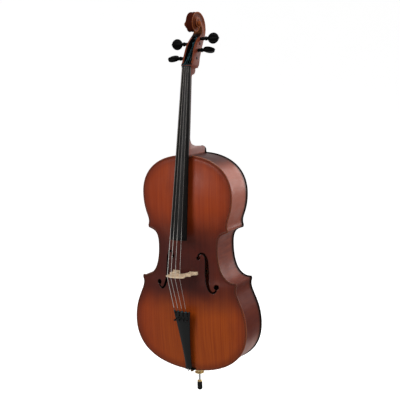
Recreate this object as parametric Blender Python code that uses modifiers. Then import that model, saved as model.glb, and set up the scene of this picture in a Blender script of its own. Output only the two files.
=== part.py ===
"""A full-size cello, as an assembly of its separate pieces.

Metres, +Z up. The origin is the bottom of the endpin's rubber tip, X runs across the body with the
treble side at +X, the top plate faces -Y, and the ribs' middle plane is Y = 0.
"""

import math

import bmesh
import bpy
from mathutils import Matrix, Vector
from mathutils.geometry import delaunay_2d_cdt

GAP = 0.0003  # between touching pieces
ARCH_GAP = 0.0009  # between a piece and the faceted curve of a plate

# Body
BODY_BOTTOM = 0.093  # lower edge of the plates
BODY_LENGTH = 0.755
BODY_TOP = BODY_BOTTOM + BODY_LENGTH
RIB_HEIGHT = 0.118
RIB_THICKNESS = 0.0015
OVERHANG = 0.003  # of the plates past the ribs
PLATE_THICKNESS = 0.0045
ARCH_HEIGHT = 0.023  # of either plate above its edge
PLATE_MARGIN = 0.010  # flat rim of the plates
ARCH_REACH = 0.012  # over which the arch's width follows the outline's narrowest place
TOP_GRID = 0.035  # spacing of the arch's points
BACK_GRID = 0.040
HALF_DEPTH = RIB_HEIGHT / 2
PLATE_OUTSIDE = HALF_DEPTH + PLATE_THICKNESS

# Half outline of the plates above BODY_BOTTOM: (half width, height) of each widest and narrowest place
LOWER_BOUT = (0.2185, 0.1625)
LOWER_CORNER = (0.185, 0.319)
LOWER_CORNER_END = (0.1825, 0.328)
WAIST = (0.115, 0.439)
UPPER_CORNER = (0.154, 0.4985)
UPPER_CORNER_END = (0.1555, 0.5065)
UPPER_BOUT = (0.172, 0.620)
# and the pull of each Bezier stretch at its two ends, as offsets to its control points
BODY_BEZIERS = (
    ((0.0, 0.0), (0.0505, 0.0), (0.0, -0.149), LOWER_BOUT),
    (LOWER_BOUT, (0.0, 0.091), (-0.018, -0.036), LOWER_CORNER),
    (LOWER_CORNER_END, (-0.040, -0.004), (0.0, -0.082), WAIST),
    (WAIST, (0.0, 0.054), (-0.0175, -0.008), UPPER_CORNER),
    (UPPER_CORNER_END, (-0.012, 0.0295), (0.0, -0.072), UPPER_BOUT),
    (UPPER_BOUT, (0.0, 0.084), (0.105, 0.0), (0.0, BODY_LENGTH)),
)

# f-holes: centre line and half width of the treble one, above the endpin's tip
F_HOLE_PATH = (
    (0.049, 0.500),
    (0.0505, 0.511),
    (0.060, 0.5165),
    (0.0695, 0.510),
    (0.0755, 0.490),
    (0.0765, 0.455),
    (0.079, 0.420),
    (0.0865, 0.394),
    (0.098, 0.3825),
    (0.109, 0.388),
    (0.1115, 0.402),
)
F_EYE_RADII = (0.0062, 0.0085)  # upper and lower
F_TIP_HALF_WIDTH = 0.0021
F_STEM_HALF_WIDTH = 0.0060

# Inside the body
RIB_STRETCHES = {
    # by bout: first and last place on the half outline, and how many points the rib is bent at
    "lower": (0.0, 1.955, 20),
    "centre": (2.055, 3.925, 17),
    "upper": (4.05, 5.999, 18),
}
LINING_ENDS = {"lower": (0.38, 1.82), "centre": (2.33, 3.72), "upper": (4.32, 5.62)}
LINING_THICKNESS = 0.002
LINING_HEIGHT = 0.014
BOTTOM_BLOCK_END = 0.33  # place on the outline
BOTTOM_BLOCK_LENGTH = 0.035
TOP_BLOCK_START = 5.67
TOP_BLOCK_LENGTH = 0.045
CORNER_BLOCKS = (
    # the stretch of rib on either side of the corner
    ("lower", ("lower", 1.83, 1.90), ("centre", 2.12, 2.31)),
    ("upper", ("centre", 3.74, 3.86), ("upper", 4.10, 4.29)),
)
PLUG_BORE_RADIUS = 0.0129
BASS_BAR_X = -0.027
BASS_BAR_HALF_WIDTH = 0.005
BASS_BAR_ENDS = (BODY_BOTTOM + 0.105, BODY_TOP - 0.130)
BASS_BAR_HEIGHTS = (0.004, 0.022)  # at its ends and in its middle
POST_RADIUS = 0.0055
POST_X = 0.036
POST_BEHIND_BRIDGE = 0.016
ARCH_SAG = 0.0006  # of a plate's facets below the true arch

# Saddle
SADDLE_HALF_WIDTH = 0.018
SADDLE_HEIGHT = 0.008
SADDLE_RISE = 0.0125  # in front of the ribs' edge
SADDLE_EDGE = 0.0025

# Neck, fingerboard and nut
NUT_Z = 1.137
NUT_LENGTH = 0.007
NUT_STEP = 0.0003  # of the nut past the fingerboard, on either side
NUT_LIFT = 0.0010  # of the nut above the fingerboard's surface, at the board and at the far side
NUT_LIFT_FAR = 0.0002
BOARD_END_Z = 0.568
BOARD_NUT_Y = -0.044  # playing surface, middle, at the nut
BOARD_END_Y = -0.137
BOARD_RADIUS = 0.060
BOARD_NUT_HALF_WIDTH = 0.016
BOARD_END_HALF_WIDTH = 0.031
BOARD_EDGE = 0.007  # thickness along its edges
NECK_THICKNESS = 0.029  # playing surface to the neck's back, at the nut
NECK_THICKNESS_LOW = 0.033
HEEL_HALF_WIDTH = 0.022
BUTTON_HALF_WIDTH = 0.0155
BUTTON_TOP = 0.870
BUTTON_STEPS = 8
BUTTON_REACH = 0.1  # below the body's top, down to which the outline gives way to the button
NECK_ROOT_Z = BODY_TOP - OVERHANG - RIB_THICKNESS
NECK_SIDE = 0.003  # straight side of the neck under the fingerboard
NECK_STEP = 0.0004  # of the neck inside the fingerboard's edge
HEEL_BACK = HALF_DEPTH - GAP
HEEL_STATIONS = (
    # height, shoulder, back and half width at the back
    (NECK_ROOT_Z, HEEL_BACK - 0.010, HEEL_BACK, BUTTON_HALF_WIDTH),
    (0.8660, HEEL_BACK - 0.010, HEEL_BACK, BUTTON_HALF_WIDTH),
    (0.8690, 0.0440, 0.0560, 0.0152),
    (0.8708, 0.0160, 0.0320, 0.0150),
    (0.8740, -0.0140, 0.0040, 0.0155),
    (0.8792, -0.0380, -0.0200, 0.0165),
    (0.8870, -0.0530, -0.0375, 0.0180),
)
NECK_HEIGHTS = (0.903, 0.96, 1.04, 1.09, 1.106)
CHIN_FRONT_HALF = 0.0162
CHIN_STATIONS = (
    # the rounded end of the head behind the nut: height, shoulder, back, half width and boxiness
    (1.1125, -0.0300, -0.0180, 0.0161, 1.0),
    (1.1145, -0.0230, -0.0070, 0.0160, 1.0),
    (1.1180, -0.0160, 0.0025, 0.0158, 1.0),
    (1.1230, -0.0110, 0.0070, 0.0157, 1.0),
    (1.1285, -0.0090, 0.0085, 0.0157, 1.0),
    (1.1340, -0.0080, 0.0078, 0.0160, 0.9),
    (1.1352, -0.0030, 0.0155, 0.0195, 0.6),
    (1.1365, -0.0025, 0.0158, 0.0197, 0.6),
)

# Head
PEGBOX_WALL = 0.006
PEGBOX_FLOOR = 0.008
PEGBOX_HOLLOW_BOTTOM = 1.1480
PEGBOX_ROUNDING = 0.007  # depth of the rounded back of its section
PEGBOX_BOXINESS = 0.6
PEGBOX_STATIONS = (
    # height, front edge, back and half width
    (1.1445, -0.0375, 0.0170, 0.0205),
    (1.1560, -0.0300, 0.0205, 0.0210),
    (1.1680, -0.0240, 0.0240, 0.0205),
    (1.1800, -0.0190, 0.0300, 0.0200),
    (1.1945, -0.0120, 0.0380, 0.0192),
    (1.2080, -0.0040, 0.0460, 0.0185),
    (1.2200, 0.0060, 0.0540, 0.0178),
    (1.2310, 0.0185, 0.0615, 0.0172),
    (1.2420, 0.0330, 0.0690, 0.0166),
    (1.2540, 0.0480, 0.0740, 0.0157),
)
SCROLL_EYE = (0.014, 1.282)  # (y, z)
SCROLL_TURNS = (
    # first and last angle in quarter turns from the back, and half width
    (-0.38, 3.3, 0.0140),
    (3.0, 6.0, 0.0190),
    (6.0, 8.0, 0.0260),
)
# at each quarter turn, from the one before the back
SCROLL_RADII = (0.077, 0.062, 0.038, 0.027, 0.027, 0.0235, 0.019, 0.0155, 0.0125, 0.0100)
SCROLL_EYE_RADIUS = 0.0075
SCROLL_EYE_HALF_WIDTH = 0.031

# Pegs
PEG_RADIUS = 0.0055
PEG_TAPER = 0.0005
PEG_NECK_RADIUS = 0.0050
PEG_COLLAR_RADIUS = 0.0074
PEG_TIP_REACH = 0.0008  # past the far cheek
PEG_HEAD_SIZE = (0.0210, 0.0188, 0.0072)  # half length, half height, half thickness
PEG_HOLE_RADIUS = PEG_RADIUS + 0.0006
PEGS = (
    # name, side of the head, (y, z) of the axis, turn about it, and distance of the head's centre
    ("peg_c", -1, (0.000, 1.1680), math.radians(60), 0.0690),
    ("peg_g", -1, (0.0275, 1.2160), math.radians(0), 0.0690),
    ("peg_d", 1, (0.0370, 1.2330), math.radians(-8), 0.0640),
    ("peg_a", 1, (0.0115, 1.1945), math.radians(62), 0.0605),
)

# Bridge
BRIDGE_Z = 0.448
BRIDGE_TOP_Y = -0.168
BRIDGE_THICKNESS = (0.011, 0.0027)  # at the feet and at the top
BRIDGE_TOP_RADIUS = 0.065
BRIDGE_TOP_PLACES = (0.031, 0.0235, 0.016, 0.008, 0.0)
BRIDGE_FOOT = (0.0200, 0.0335, 0.0470)  # inner edge, middle and outer edge of a foot
BRIDGE_FOOT_EDGE = 0.0035
BRIDGE_FOOT_DRAFT = 0.0005
BRIDGE_ARCH = (
    # between the legs, from the middle to the foot: half width and height above the feet
    (0.0, 0.0360),
    (0.0080, 0.0345),
    (0.0155, 0.0290),
    (0.0195, 0.0190),
    (0.0215, 0.0090),
    (0.0205, 0.0030),
)
BRIDGE_SIDE = (
    # from the foot up to the top, likewise
    (0.0405, 0.0050),
    (0.0350, 0.0130),
    (0.0350, 0.0230),
    (0.0385, 0.0310),
    (0.0375, 0.0360),
    (0.0320, 0.0400),
    (0.0290, 0.0480),
    (0.0300, 0.0580),
    (0.0335, 0.0660),
    (0.0330, 0.0720),
)
BRIDGE_HEART_RISE = 0.052
BRIDGE_HEART_RADIUS = 0.0065

# Strings, from bass to treble
STRINGS = (
    # name, radius, x at the nut, the bridge and the tailpiece, and its peg
    ("string_c", 0.0009, -0.0110, -0.0235, -0.0225, "peg_c"),
    ("string_g", 0.0007, -0.0037, -0.0080, -0.0075, "peg_g"),
    ("string_d", 0.00055, 0.0037, 0.0080, 0.0075, "peg_d"),
    ("string_a", 0.0004, 0.0110, 0.0235, 0.0225, "peg_a"),
)

COIL_START = 0.55  # of the string's x at the nut
COIL_TURNS = 3
COIL_STEPS = 10
COIL_GAP = 0.0006  # between the peg and the straight stretches that stand for its turns
STRING_END = (0.0075, 0.0030)  # on its tuner: out of the tailpiece's face, and along it

# Tailpiece, in its own frame: along it from its top end, and out of its face
TAIL_TOP = (-0.117, 0.318)  # (y, z) of the top end
TAIL_BOTTOM = (-0.0775, 0.105)
TAIL_HALF_WIDTHS = (0.0315, 0.0115)
TAIL_TAPER = 1.6
TAIL_SHARES = (0.0, 0.12, 0.30, 0.55, 0.80, 0.96, 1.0)
TAIL_END_ROUNDING = 0.002
TAIL_THICKNESS = 0.009
TAIL_CROWN = 0.004

# Fine tuners
TUNER_PIVOT = -0.010
TUNER_SCREW = -0.028
SCREW_BORE_RADIUS = 0.0019
LEVER_WIDTH = 0.004
LEVER_PLAY = 0.0005
AXLE_REACH = 0.028
AXLE_RADIUS = 0.0010
AXLE_BORE_RADIUS = 0.0013
LEVER_SIDE = (
    # out of the tailpiece's face, and along it
    (0.0088, 0.0015),
    (0.0088, -0.0030),
    (0.0030, TUNER_PIVOT + 0.0035),
    (0.0024, TUNER_PIVOT - 0.0030),
    (-0.0055, TUNER_PIVOT - 0.0050),
    (-0.0062, TUNER_SCREW - 0.0040),
    (-0.0080, TUNER_SCREW - 0.0040),
    (-0.0078, TUNER_PIVOT - 0.0020),
    (-0.0030, TUNER_PIVOT + 0.0040),
    (0.0030, 0.0008),
)
TUNER_SCREW_PROFILE = (
    # radius, and height out of the tailpiece's middle
    (0.0, 0.0165),
    (0.0030, 0.0165),
    (0.0036, 0.0155),
    (0.0036, 0.0115),
    (0.0030, 0.0108),
    (0.0015, 0.0105),
    (0.0015, -0.0048),
    (0.0, -0.0052),
)

# Tail cord
CORD_RADIUS = 0.0014
CORD_LEVEL = 0.0890
CORD_HALF_SPREAD = 0.006
CORD_HOLE_DEPTH = 0.014
CORD_ROUTE = (
    # over the saddle and along under the body
    (0.0060, -0.0736, 0.0985),
    (0.0062, -0.0733, 0.0945),
    (0.0068, -0.0695, 0.0912),
    (0.0085, -0.0500, 0.0900),
)

# Endpin
TIP_RADIUS = 0.0092
TIP_TOP = 0.0292
TIP_SOCKET = 0.0120
FERRULE_TOP = 0.0345
FERRULE_RADIUS = 0.0086
ROD_RADIUS = 0.004
ROD_TOP = 0.500
BORE_RADIUS = ROD_RADIUS + GAP
SLIDING_BORE = 0.0047
COLLAR_BOTTOM = 0.0616
COLLAR_TOP = 0.0815
COLLAR_RADIUS = 0.0165
PLUG_TOP = 0.130
PLUG_GROOVE_RADIUS = 0.0110
THUMBSCREW_Z = 0.0733
THUMBSCREW_AZIMUTH = math.radians(212)  # of its outer end, about the rod, from +X
# turned profiles as (radius, height), top to bottom along the outside
PLUG_PROFILE = (
    (SLIDING_BORE, PLUG_TOP),
    (0.0110, PLUG_TOP),
    (0.0125, 0.0952),
    (0.0135, 0.0952),
    (0.0135, 0.0922),
    (PLUG_GROOVE_RADIUS, 0.0912),
    (PLUG_GROOVE_RADIUS, 0.0868),
    (0.0135, 0.0858),
    (0.0130, COLLAR_TOP + GAP),
    (SLIDING_BORE, COLLAR_TOP + GAP),
)
COLLAR_PROFILE = (
    (SLIDING_BORE, COLLAR_TOP),
    (0.0112, COLLAR_TOP),
    (0.0112, 0.0682),
    (COLLAR_RADIUS, 0.0666),
    (COLLAR_RADIUS, 0.0626),
    (0.0157, COLLAR_BOTTOM),
    (SLIDING_BORE, COLLAR_BOTTOM),
)
THUMBSCREW_PROFILE = (
    (0.0, 0.0310),
    (0.0055, 0.0310),
    (0.0062, 0.0300),
    (0.0062, 0.0225),
    (0.0053, 0.0215),
    (0.0026, 0.0205),
    (0.0018, 0.0185),
    (0.0018, 0.0055),
    (0.0, 0.0050),
)
FERRULE_PROFILE = (
    (BORE_RADIUS, FERRULE_TOP),
    (0.0070, FERRULE_TOP),
    (FERRULE_RADIUS, FERRULE_TOP - 0.0015),
    (FERRULE_RADIUS, TIP_TOP + GAP),
    (BORE_RADIUS, TIP_TOP + GAP),
)
TIP_PROFILE = (
    (0.0, TIP_SOCKET),
    (BORE_RADIUS, TIP_SOCKET),
    (BORE_RADIUS, TIP_TOP),
    (FERRULE_RADIUS, TIP_TOP),
    (TIP_RADIUS, 0.0240),
    (TIP_RADIUS, 0.0040),
    (0.0070, 0.0),
    (0.0, 0.0),
)
# turns a flat piece's own X and Y to world Y and Z, so that its thickness lies along X
ACROSS_X = Matrix(((0, 0, 1, 0), (1, 0, 0, 0), (0, 1, 0, 0), (0, 0, 0, 1)))


def clear_scene():
    for existing in list(bpy.data.objects):
        bpy.data.objects.remove(existing, do_unlink=True)


def new_collection(name):
    collection = bpy.data.collections.new(name)
    bpy.context.scene.collection.children.link(collection)
    return collection


def material(name, colour, roughness, metallic=0.0):
    made = bpy.data.materials.new(name)
    made.use_nodes = True
    shader = made.node_tree.nodes["Principled BSDF"]
    shader.inputs["Base Color"].default_value = (*colour, 1.0)
    shader.inputs["Roughness"].default_value = roughness
    shader.inputs["Metallic"].default_value = metallic
    return made


clear_scene()
CELLO = new_collection("cello")
CUTTERS = new_collection("cutters")
SPRUCE = material("varnished_spruce", (0.30, 0.08, 0.02), 0.35)
MAPLE = material("varnished_maple", (0.16, 0.04, 0.02), 0.35)
BARE_WOOD = material("bare_wood", (0.72, 0.55, 0.36), 0.7)
BRIDGE_WOOD = material("bridge_maple", (0.80, 0.66, 0.44), 0.55)
EBONY = material("ebony", (0.012, 0.011, 0.011), 0.4)
TAIL_PLASTIC = material("black_composite", (0.01, 0.011, 0.012), 0.35)
BLACK_METAL = material("black_metal", (0.02, 0.02, 0.022), 0.3, 1.0)
STRING_STEEL = material("string_steel", (0.62, 0.62, 0.60), 0.3, 1.0)
CORD = material("tail_cord", (0.015, 0.015, 0.015), 0.6)
GOLD = material("gold_plate", (0.75, 0.52, 0.20), 0.25, 1.0)
STEEL = material("steel_rod", (0.66, 0.66, 0.66), 0.25, 1.0)
RUBBER = material("rubber", (0.01, 0.01, 0.01), 0.8)


def finish_mesh(mesh, smooth_angle=0.6):
    """Shades a mesh smooth, apart from its sharp edges."""
    mesh.shade_smooth()
    mesh.set_sharp_from_angle(angle=smooth_angle)


def add_mesh(name, mesh, look, collection=CELLO):
    finish_mesh(mesh)
    piece = bpy.data.objects.new(name, mesh)
    collection.objects.link(piece)
    piece.data.materials.clear()
    piece.data.materials.append(look)
    if collection is CUTTERS:
        piece.hide_render = True
        piece.display_type = "WIRE"
    return piece


def face_outwards(bm):
    bmesh.ops.recalc_face_normals(bm, faces=bm.faces)
    if bm.calc_volume(signed=True) < 0:
        bmesh.ops.reverse_faces(bm, faces=bm.faces)


def add_bmesh(name, bm, look, collection=CELLO):
    face_outwards(bm)
    mesh = bpy.data.meshes.new(name)
    bm.to_mesh(mesh)
    bm.free()
    return add_mesh(name, mesh, look, collection)


def mesh_from(source, name):
    """A mesh of an object as its modifiers or its curve leave it, with the caps welded. The source goes."""
    bpy.context.view_layer.update()
    graph = bpy.context.evaluated_depsgraph_get()
    mesh = bpy.data.meshes.new_from_object(source.evaluated_get(graph))
    bm = bmesh.new()
    bm.from_mesh(mesh)
    bmesh.ops.remove_doubles(bm, verts=bm.verts, dist=1e-5)
    bm.transform(source.matrix_world)
    face_outwards(bm)
    bm.to_mesh(mesh)
    bm.free()
    mesh.name = name
    bpy.data.objects.remove(source, do_unlink=True)
    return mesh


def plate_curve(name, outline, thickness):
    """A flat closed curve object in its local XY plane, as thick as stated, centred on it."""
    curve = bpy.data.curves.new(name, "CURVE")
    curve.dimensions = "2D"
    curve.fill_mode = "BOTH"
    curve.extrude = thickness / 2
    spline = curve.splines.new("POLY")
    spline.points.add(len(outline) - 1)
    for point, (x, y) in zip(spline.points, outline):
        point.co = (x, y, 0.0, 1.0)
    spline.use_cyclic_u = True
    piece = bpy.data.objects.new(name, curve)
    bpy.context.scene.collection.objects.link(piece)
    return piece


def flat_in_xz(name, outline, y_from, y_to, look, collection=CELLO):
    """A flat piece whose outline lies in the XZ plane, between two depths."""
    piece = plate_curve(name, outline, abs(y_to - y_from))
    piece.rotation_euler = (math.pi / 2, 0, 0)
    piece.location = (0, (y_from + y_to) / 2, 0)
    return add_mesh(name, mesh_from(piece, name), look, collection)


def flat_in_yz(name, outline, x_from, x_to, look, collection=CELLO):
    """A flat piece whose outline of (y, z) lies across the X axis, between two places on it."""
    piece = plate_curve(name, outline, abs(x_to - x_from))
    piece.matrix_world = Matrix.Translation(((x_from + x_to) / 2, 0, 0)) @ ACROSS_X
    return add_mesh(name, mesh_from(piece, name), look, collection)


def loft(name, rings, look, collection=CELLO):
    """A closed body through rings of equally many points."""
    bm = bmesh.new()
    rows = [[bm.verts.new(point) for point in ring] for ring in rings]
    count = len(rows[0])
    for lower, upper in zip(rows, rows[1:]):
        for i in range(count):
            j = (i + 1) % count
            bm.faces.new((lower[i], lower[j], upper[j], upper[i]))
    bm.faces.new(list(reversed(rows[0])))
    bm.faces.new(rows[-1])
    return add_bmesh(name, bm, look, collection)


def turned(name, profile, look, steps=20, collection=CELLO):
    """A body turned about its local Z from a profile of (radius, z), top to bottom along its outside."""
    bm = bmesh.new()
    corners = [bm.verts.new((radius, 0, z)) for radius, z in profile]
    for a, b in zip(corners, corners[1:]):
        bm.edges.new((a, b))
    if min(radius for radius, z in profile) > 0:
        bm.edges.new((corners[-1], corners[0]))
    mesh = bpy.data.meshes.new(name)
    bm.to_mesh(mesh)
    bm.free()
    piece = bpy.data.objects.new(name, mesh)
    bpy.context.scene.collection.objects.link(piece)
    screw = piece.modifiers.new("turn", "SCREW")
    screw.steps = steps
    screw.render_steps = steps
    screw.use_merge_vertices = True
    screw.merge_threshold = 1e-6
    return add_mesh(name, mesh_from(piece, name), look, collection)


def wire(name, points, radius, look, resolution=1):
    """A round wire or cord along a list of points."""
    curve = bpy.data.curves.new(name, "CURVE")
    curve.dimensions = "3D"
    curve.bevel_depth = radius
    curve.bevel_resolution = resolution
    curve.use_fill_caps = True
    spline = curve.splines.new("POLY")
    spline.points.add(len(points) - 1)
    for point, place in zip(spline.points, points):
        point.co = (*place, 1.0)
    piece = bpy.data.objects.new(name, curve)
    CELLO.objects.link(piece)
    curve.materials.append(look)
    return piece


def rod_along(name, start, end, radius, look, sides=16, collection=CELLO):
    """A straight cylinder between two points."""
    start = Vector(start)
    end = Vector(end)
    turn = (end - start).to_track_quat("Z", "Y").to_matrix().to_4x4()
    bm = bmesh.new()
    bmesh.ops.create_cone(
        bm,
        cap_ends=True,
        segments=sides,
        radius1=radius,
        radius2=radius,
        depth=(end - start).length,
        matrix=Matrix.Translation((start + end) / 2) @ turn,
    )
    return add_bmesh(name, bm, look, collection)


def box(name, low, high, look, collection=CELLO):
    bm = bmesh.new()
    low = Vector(low)
    high = Vector(high)
    place = Matrix.Translation((low + high) / 2) @ Matrix.Diagonal((*(high - low), 1.0))
    bmesh.ops.create_cube(bm, size=1.0, matrix=place)
    return add_bmesh(name, bm, look, collection)


def boolean(piece, other, operation="DIFFERENCE"):
    modifier = piece.modifiers.new(other.name, "BOOLEAN")
    modifier.operation = operation
    modifier.object = other


def bezier(start, pull_start, pull_end, end, t):
    """A point of a cubic stretch whose control points are given as offsets from its ends."""
    s = 1 - t
    return tuple(
        s**3 * a + 3 * s * s * t * (a + p) + 3 * s * t * t * (b + q) + t**3 * b
        for a, p, q, b in zip(start, pull_start, pull_end, end)
    )


def body_point(place):
    """The half outline at a place: the whole part is the stretch and the rest how far along it."""
    stretch = min(int(place), len(BODY_BEZIERS) - 1)
    start, pull_start, pull_end, end = BODY_BEZIERS[stretch]
    x, z = bezier(start, pull_start, pull_end, end, place - stretch)
    return Vector((x, z + BODY_BOTTOM))


def inset_point(place, inset):
    """The half outline moved inwards."""
    step = 1e-4
    stretch = min(int(place), len(BODY_BEZIERS) - 1)
    before = body_point(max(place - step, stretch))
    after = body_point(min(place + step, stretch + 1 - 1e-9))
    along = (after - before).normalized()
    return body_point(place) + Vector((-along.y, along.x)) * inset


def places(first, last, count):
    return [first + (last - first) * i / (count - 1) for i in range(count)]


INSIDE_RIBS = OVERHANG + RIB_THICKNESS + GAP


def strip(stations, outside, thickness):
    """The outline of a bent strip inside the body's outline, through places on it."""
    outer = [inset_point(place, outside) for place in stations]
    inner = [inset_point(place, outside + thickness) for place in stations]
    return outer + list(reversed(inner))


def rib_stations(bout, first=0.0, last=6.0):
    """The places that a bout's rib is bent at, so that what lies against it is bent there too."""
    start, end, count = RIB_STRETCHES[bout]
    return [place for place in places(start, end, count) if first <= place <= last]


def sided(outline, side):
    """Keeps a treble outline, or mirrors it to the bass side."""
    return [(side * x, z) for x, z in outline]


def make_width_table():
    """(height, half width that the arch may fill) along the body: the outline, without its corners."""
    steps = 60
    outline = [body_point(min(place / steps, 5.999)) for place in range(6 * steps + 1)]
    rows = int(BODY_LENGTH / 0.005) + 1
    heights = [BODY_BOTTOM + BODY_LENGTH * i / (rows - 1) for i in range(rows)]
    narrow = []
    for height in heights:
        near = [point.x for point in outline if abs(point.y - height) <= ARCH_REACH]
        narrow.append(min(near))
    table = []
    for i, height in enumerate(heights):
        near = narrow[max(0, i - 3) : i + 4]
        table.append((height, max(sum(near) / len(near) - PLATE_MARGIN, 0.001)))
    return table


WIDTH_TABLE = make_width_table()


def arch_half_width(z):
    """Half width of the arched part of the plates at a height, read between the table's rows."""
    step = BODY_LENGTH / (len(WIDTH_TABLE) - 1)
    place = min(max((z - BODY_BOTTOM) / step, 0), len(WIDTH_TABLE) - 1.001)
    row = int(place)
    return WIDTH_TABLE[row][1] + (WIDTH_TABLE[row + 1][1] - WIDTH_TABLE[row][1]) * (place - row)


def arch(x, z):
    """How far a plate's outer face stands out from its edge."""
    across = abs(x) / arch_half_width(z)
    along = abs(z - BODY_BOTTOM - BODY_LENGTH / 2) / (BODY_LENGTH / 2 - PLATE_MARGIN)
    if across >= 1 or along >= 1:
        return 0.0
    rise_across = (1 + math.cos(math.pi * across**1.25)) / 2
    rise_along = (1 + math.cos(math.pi * along**2.4)) / 2
    return ARCH_HEIGHT * rise_across * rise_along


def full_outline(counts=(14, 8, 11, 8, 9, 12)):
    """The plates' whole outline, from its bottom round the treble side."""
    half = []
    for stretch, count in enumerate(counts):
        for i in range(count):
            half.append(body_point(stretch + i / count))
        if stretch in (1, 3):
            half.append(body_point(stretch + 0.9999))
    top = Vector((0.0, BODY_TOP))
    return half + [top] + [Vector((-point.x, point.y)) for point in reversed(half[1:])]


def with_button(outline):
    """The outline with the neck's button in place of its top."""
    top = outline.index(Vector((0.0, BODY_TOP)))
    centre = Vector((0.0, BUTTON_TOP - BUTTON_HALF_WIDTH))
    arc = []
    for angle in places(0, math.pi, BUTTON_STEPS + 1):
        arc.append(centre + BUTTON_HALF_WIDTH * Vector((math.cos(angle), math.sin(angle))))
    foot = Vector((BUTTON_HALF_WIDTH, BODY_TOP - 0.0001))
    kept = [p for p in outline if abs(p.x) > BUTTON_HALF_WIDTH or p.y < BODY_TOP - BUTTON_REACH]
    treble = [p for p in outline[:top] if p in kept]
    bass = [p for p in outline[top + 1 :] if p in kept]
    return treble + [foot] + arc[1:-1] + [Vector((-foot.x, foot.y))] + bass


def arched_plate(name, side, spacing, outline, look):
    """A plate as an open arched surface, thickened inwards. side is -1 for the front and 1 for the back."""
    points = list(outline)
    rows = int(BODY_LENGTH / (spacing * 0.87))
    for row in range(1, rows):
        z = BODY_BOTTOM + BODY_LENGTH * row / rows
        room = arch_half_width(z) - 0.004
        start = 0.5 * (row % 2)
        count = int(room / spacing - start) + 1
        for i in range(count):
            x = (start + i) * spacing
            points.append(Vector((x, z)))
            if x > 0:
                points.append(Vector((-x, z)))
    edges = [(i, (i + 1) % len(outline)) for i in range(len(outline))]
    places_2d, _, triangles, *_ = delaunay_2d_cdt(points, edges, [list(range(len(outline)))], 1, 1e-6)
    bm = bmesh.new()
    corners = [bm.verts.new((x, side * (PLATE_OUTSIDE + arch(x, z)), z)) for x, z in places_2d]
    for triangle in triangles:
        bm.faces.new([corners[i] for i in triangle])
    loose = [corner for corner in bm.verts if not corner.link_faces]
    bmesh.ops.delete(bm, geom=loose, context="VERTS")
    bmesh.ops.recalc_face_normals(bm, faces=bm.faces)
    middle = min(bm.faces, key=lambda face: face.calc_center_median().xz.length)
    if middle.normal.y * side < 0:
        bmesh.ops.reverse_faces(bm, faces=bm.faces)
    mesh = bpy.data.meshes.new(name)
    bm.to_mesh(mesh)
    bm.free()
    sheet = bpy.data.objects.new(name, mesh)
    bpy.context.scene.collection.objects.link(sheet)
    solidify = sheet.modifiers.new("thickness", "SOLIDIFY")
    solidify.thickness = PLATE_THICKNESS
    solidify.offset = -1
    return add_mesh(name, mesh_from(sheet, name), look)


def smooth_path(points, per_stretch):
    """A Catmull-Rom curve through points of any dimension."""
    ends = [points[0], *points, points[-1]]
    path = []
    for a, b, c, d in zip(ends, ends[1:], ends[2:], ends[3:]):
        for i in range(per_stretch):
            t = i / per_stretch
            weights = (
                -t + 2 * t * t - t**3,
                2 - 5 * t * t + 3 * t**3,
                t + 4 * t * t - 3 * t**3,
                t**3 - t * t,
            )
            path.append(tuple(sum(w * v for w, v in zip(weights, row)) / 2 for row in zip(a, b, c, d)))
    path.append(tuple(points[-1]))
    return path


def f_hole_outline():
    """The outline of the treble f-hole's stroke, which swells along its stem."""
    path = [Vector(point) for point in smooth_path(F_HOLE_PATH, 3)]
    lengths = [0.0]
    for a, b in zip(path, path[1:]):
        lengths.append(lengths[-1] + (b - a).length)
    whole = lengths[-1]
    near = []
    far = []
    for i, point in enumerate(path):
        along = (path[min(i + 1, len(path) - 1)] - path[max(i - 1, 0)]).normalized()
        across = Vector((-along.y, along.x))
        share = lengths[i] / whole
        width = F_TIP_HALF_WIDTH + (F_STEM_HALF_WIDTH - F_TIP_HALF_WIDTH) * math.sin(math.pi * share) ** 1.5
        near.append(point + across * width)
        far.append(point - across * width)
    return near + list(reversed(far))


def make_plates():
    front = -PLATE_OUTSIDE - ARCH_HEIGHT - 0.01
    behind = -HALF_DEPTH / 2
    top = arched_plate("top_plate", -1, TOP_GRID, full_outline(), SPRUCE)
    stroke = f_hole_outline()
    for side, word in ((1, "treble"), (-1, "bass")):
        boolean(top, flat_in_xz(f"f_stroke_{word}", sided(stroke, side), front, behind, EBONY, CUTTERS))
        for end, (x, z), radius in (
            ("upper", F_HOLE_PATH[0], F_EYE_RADII[0]),
            ("lower", F_HOLE_PATH[-1], F_EYE_RADII[1]),
        ):
            start = (side * x, front, z)
            finish = (side * x, behind, z)
            boolean(top, rod_along(f"f_eye_{end}_{word}", start, finish, radius, EBONY, 14, CUTTERS))
    half = HEEL_HALF_WIDTH + GAP
    low = (-half, front, NECK_ROOT_Z - 2 * GAP)
    boolean(top, box("neck_notch", low, (half, behind, BODY_TOP + 0.01), MAPLE, CUTTERS))
    half = SADDLE_HALF_WIDTH + GAP
    low = (-half, front, BODY_BOTTOM - 0.01)
    boolean(top, box("saddle_notch", low, (half, behind, BODY_BOTTOM + SADDLE_HEIGHT + GAP), MAPLE, CUTTERS))
    arched_plate("back_plate", 1, BACK_GRID, with_button(full_outline()), MAPLE)


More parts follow.
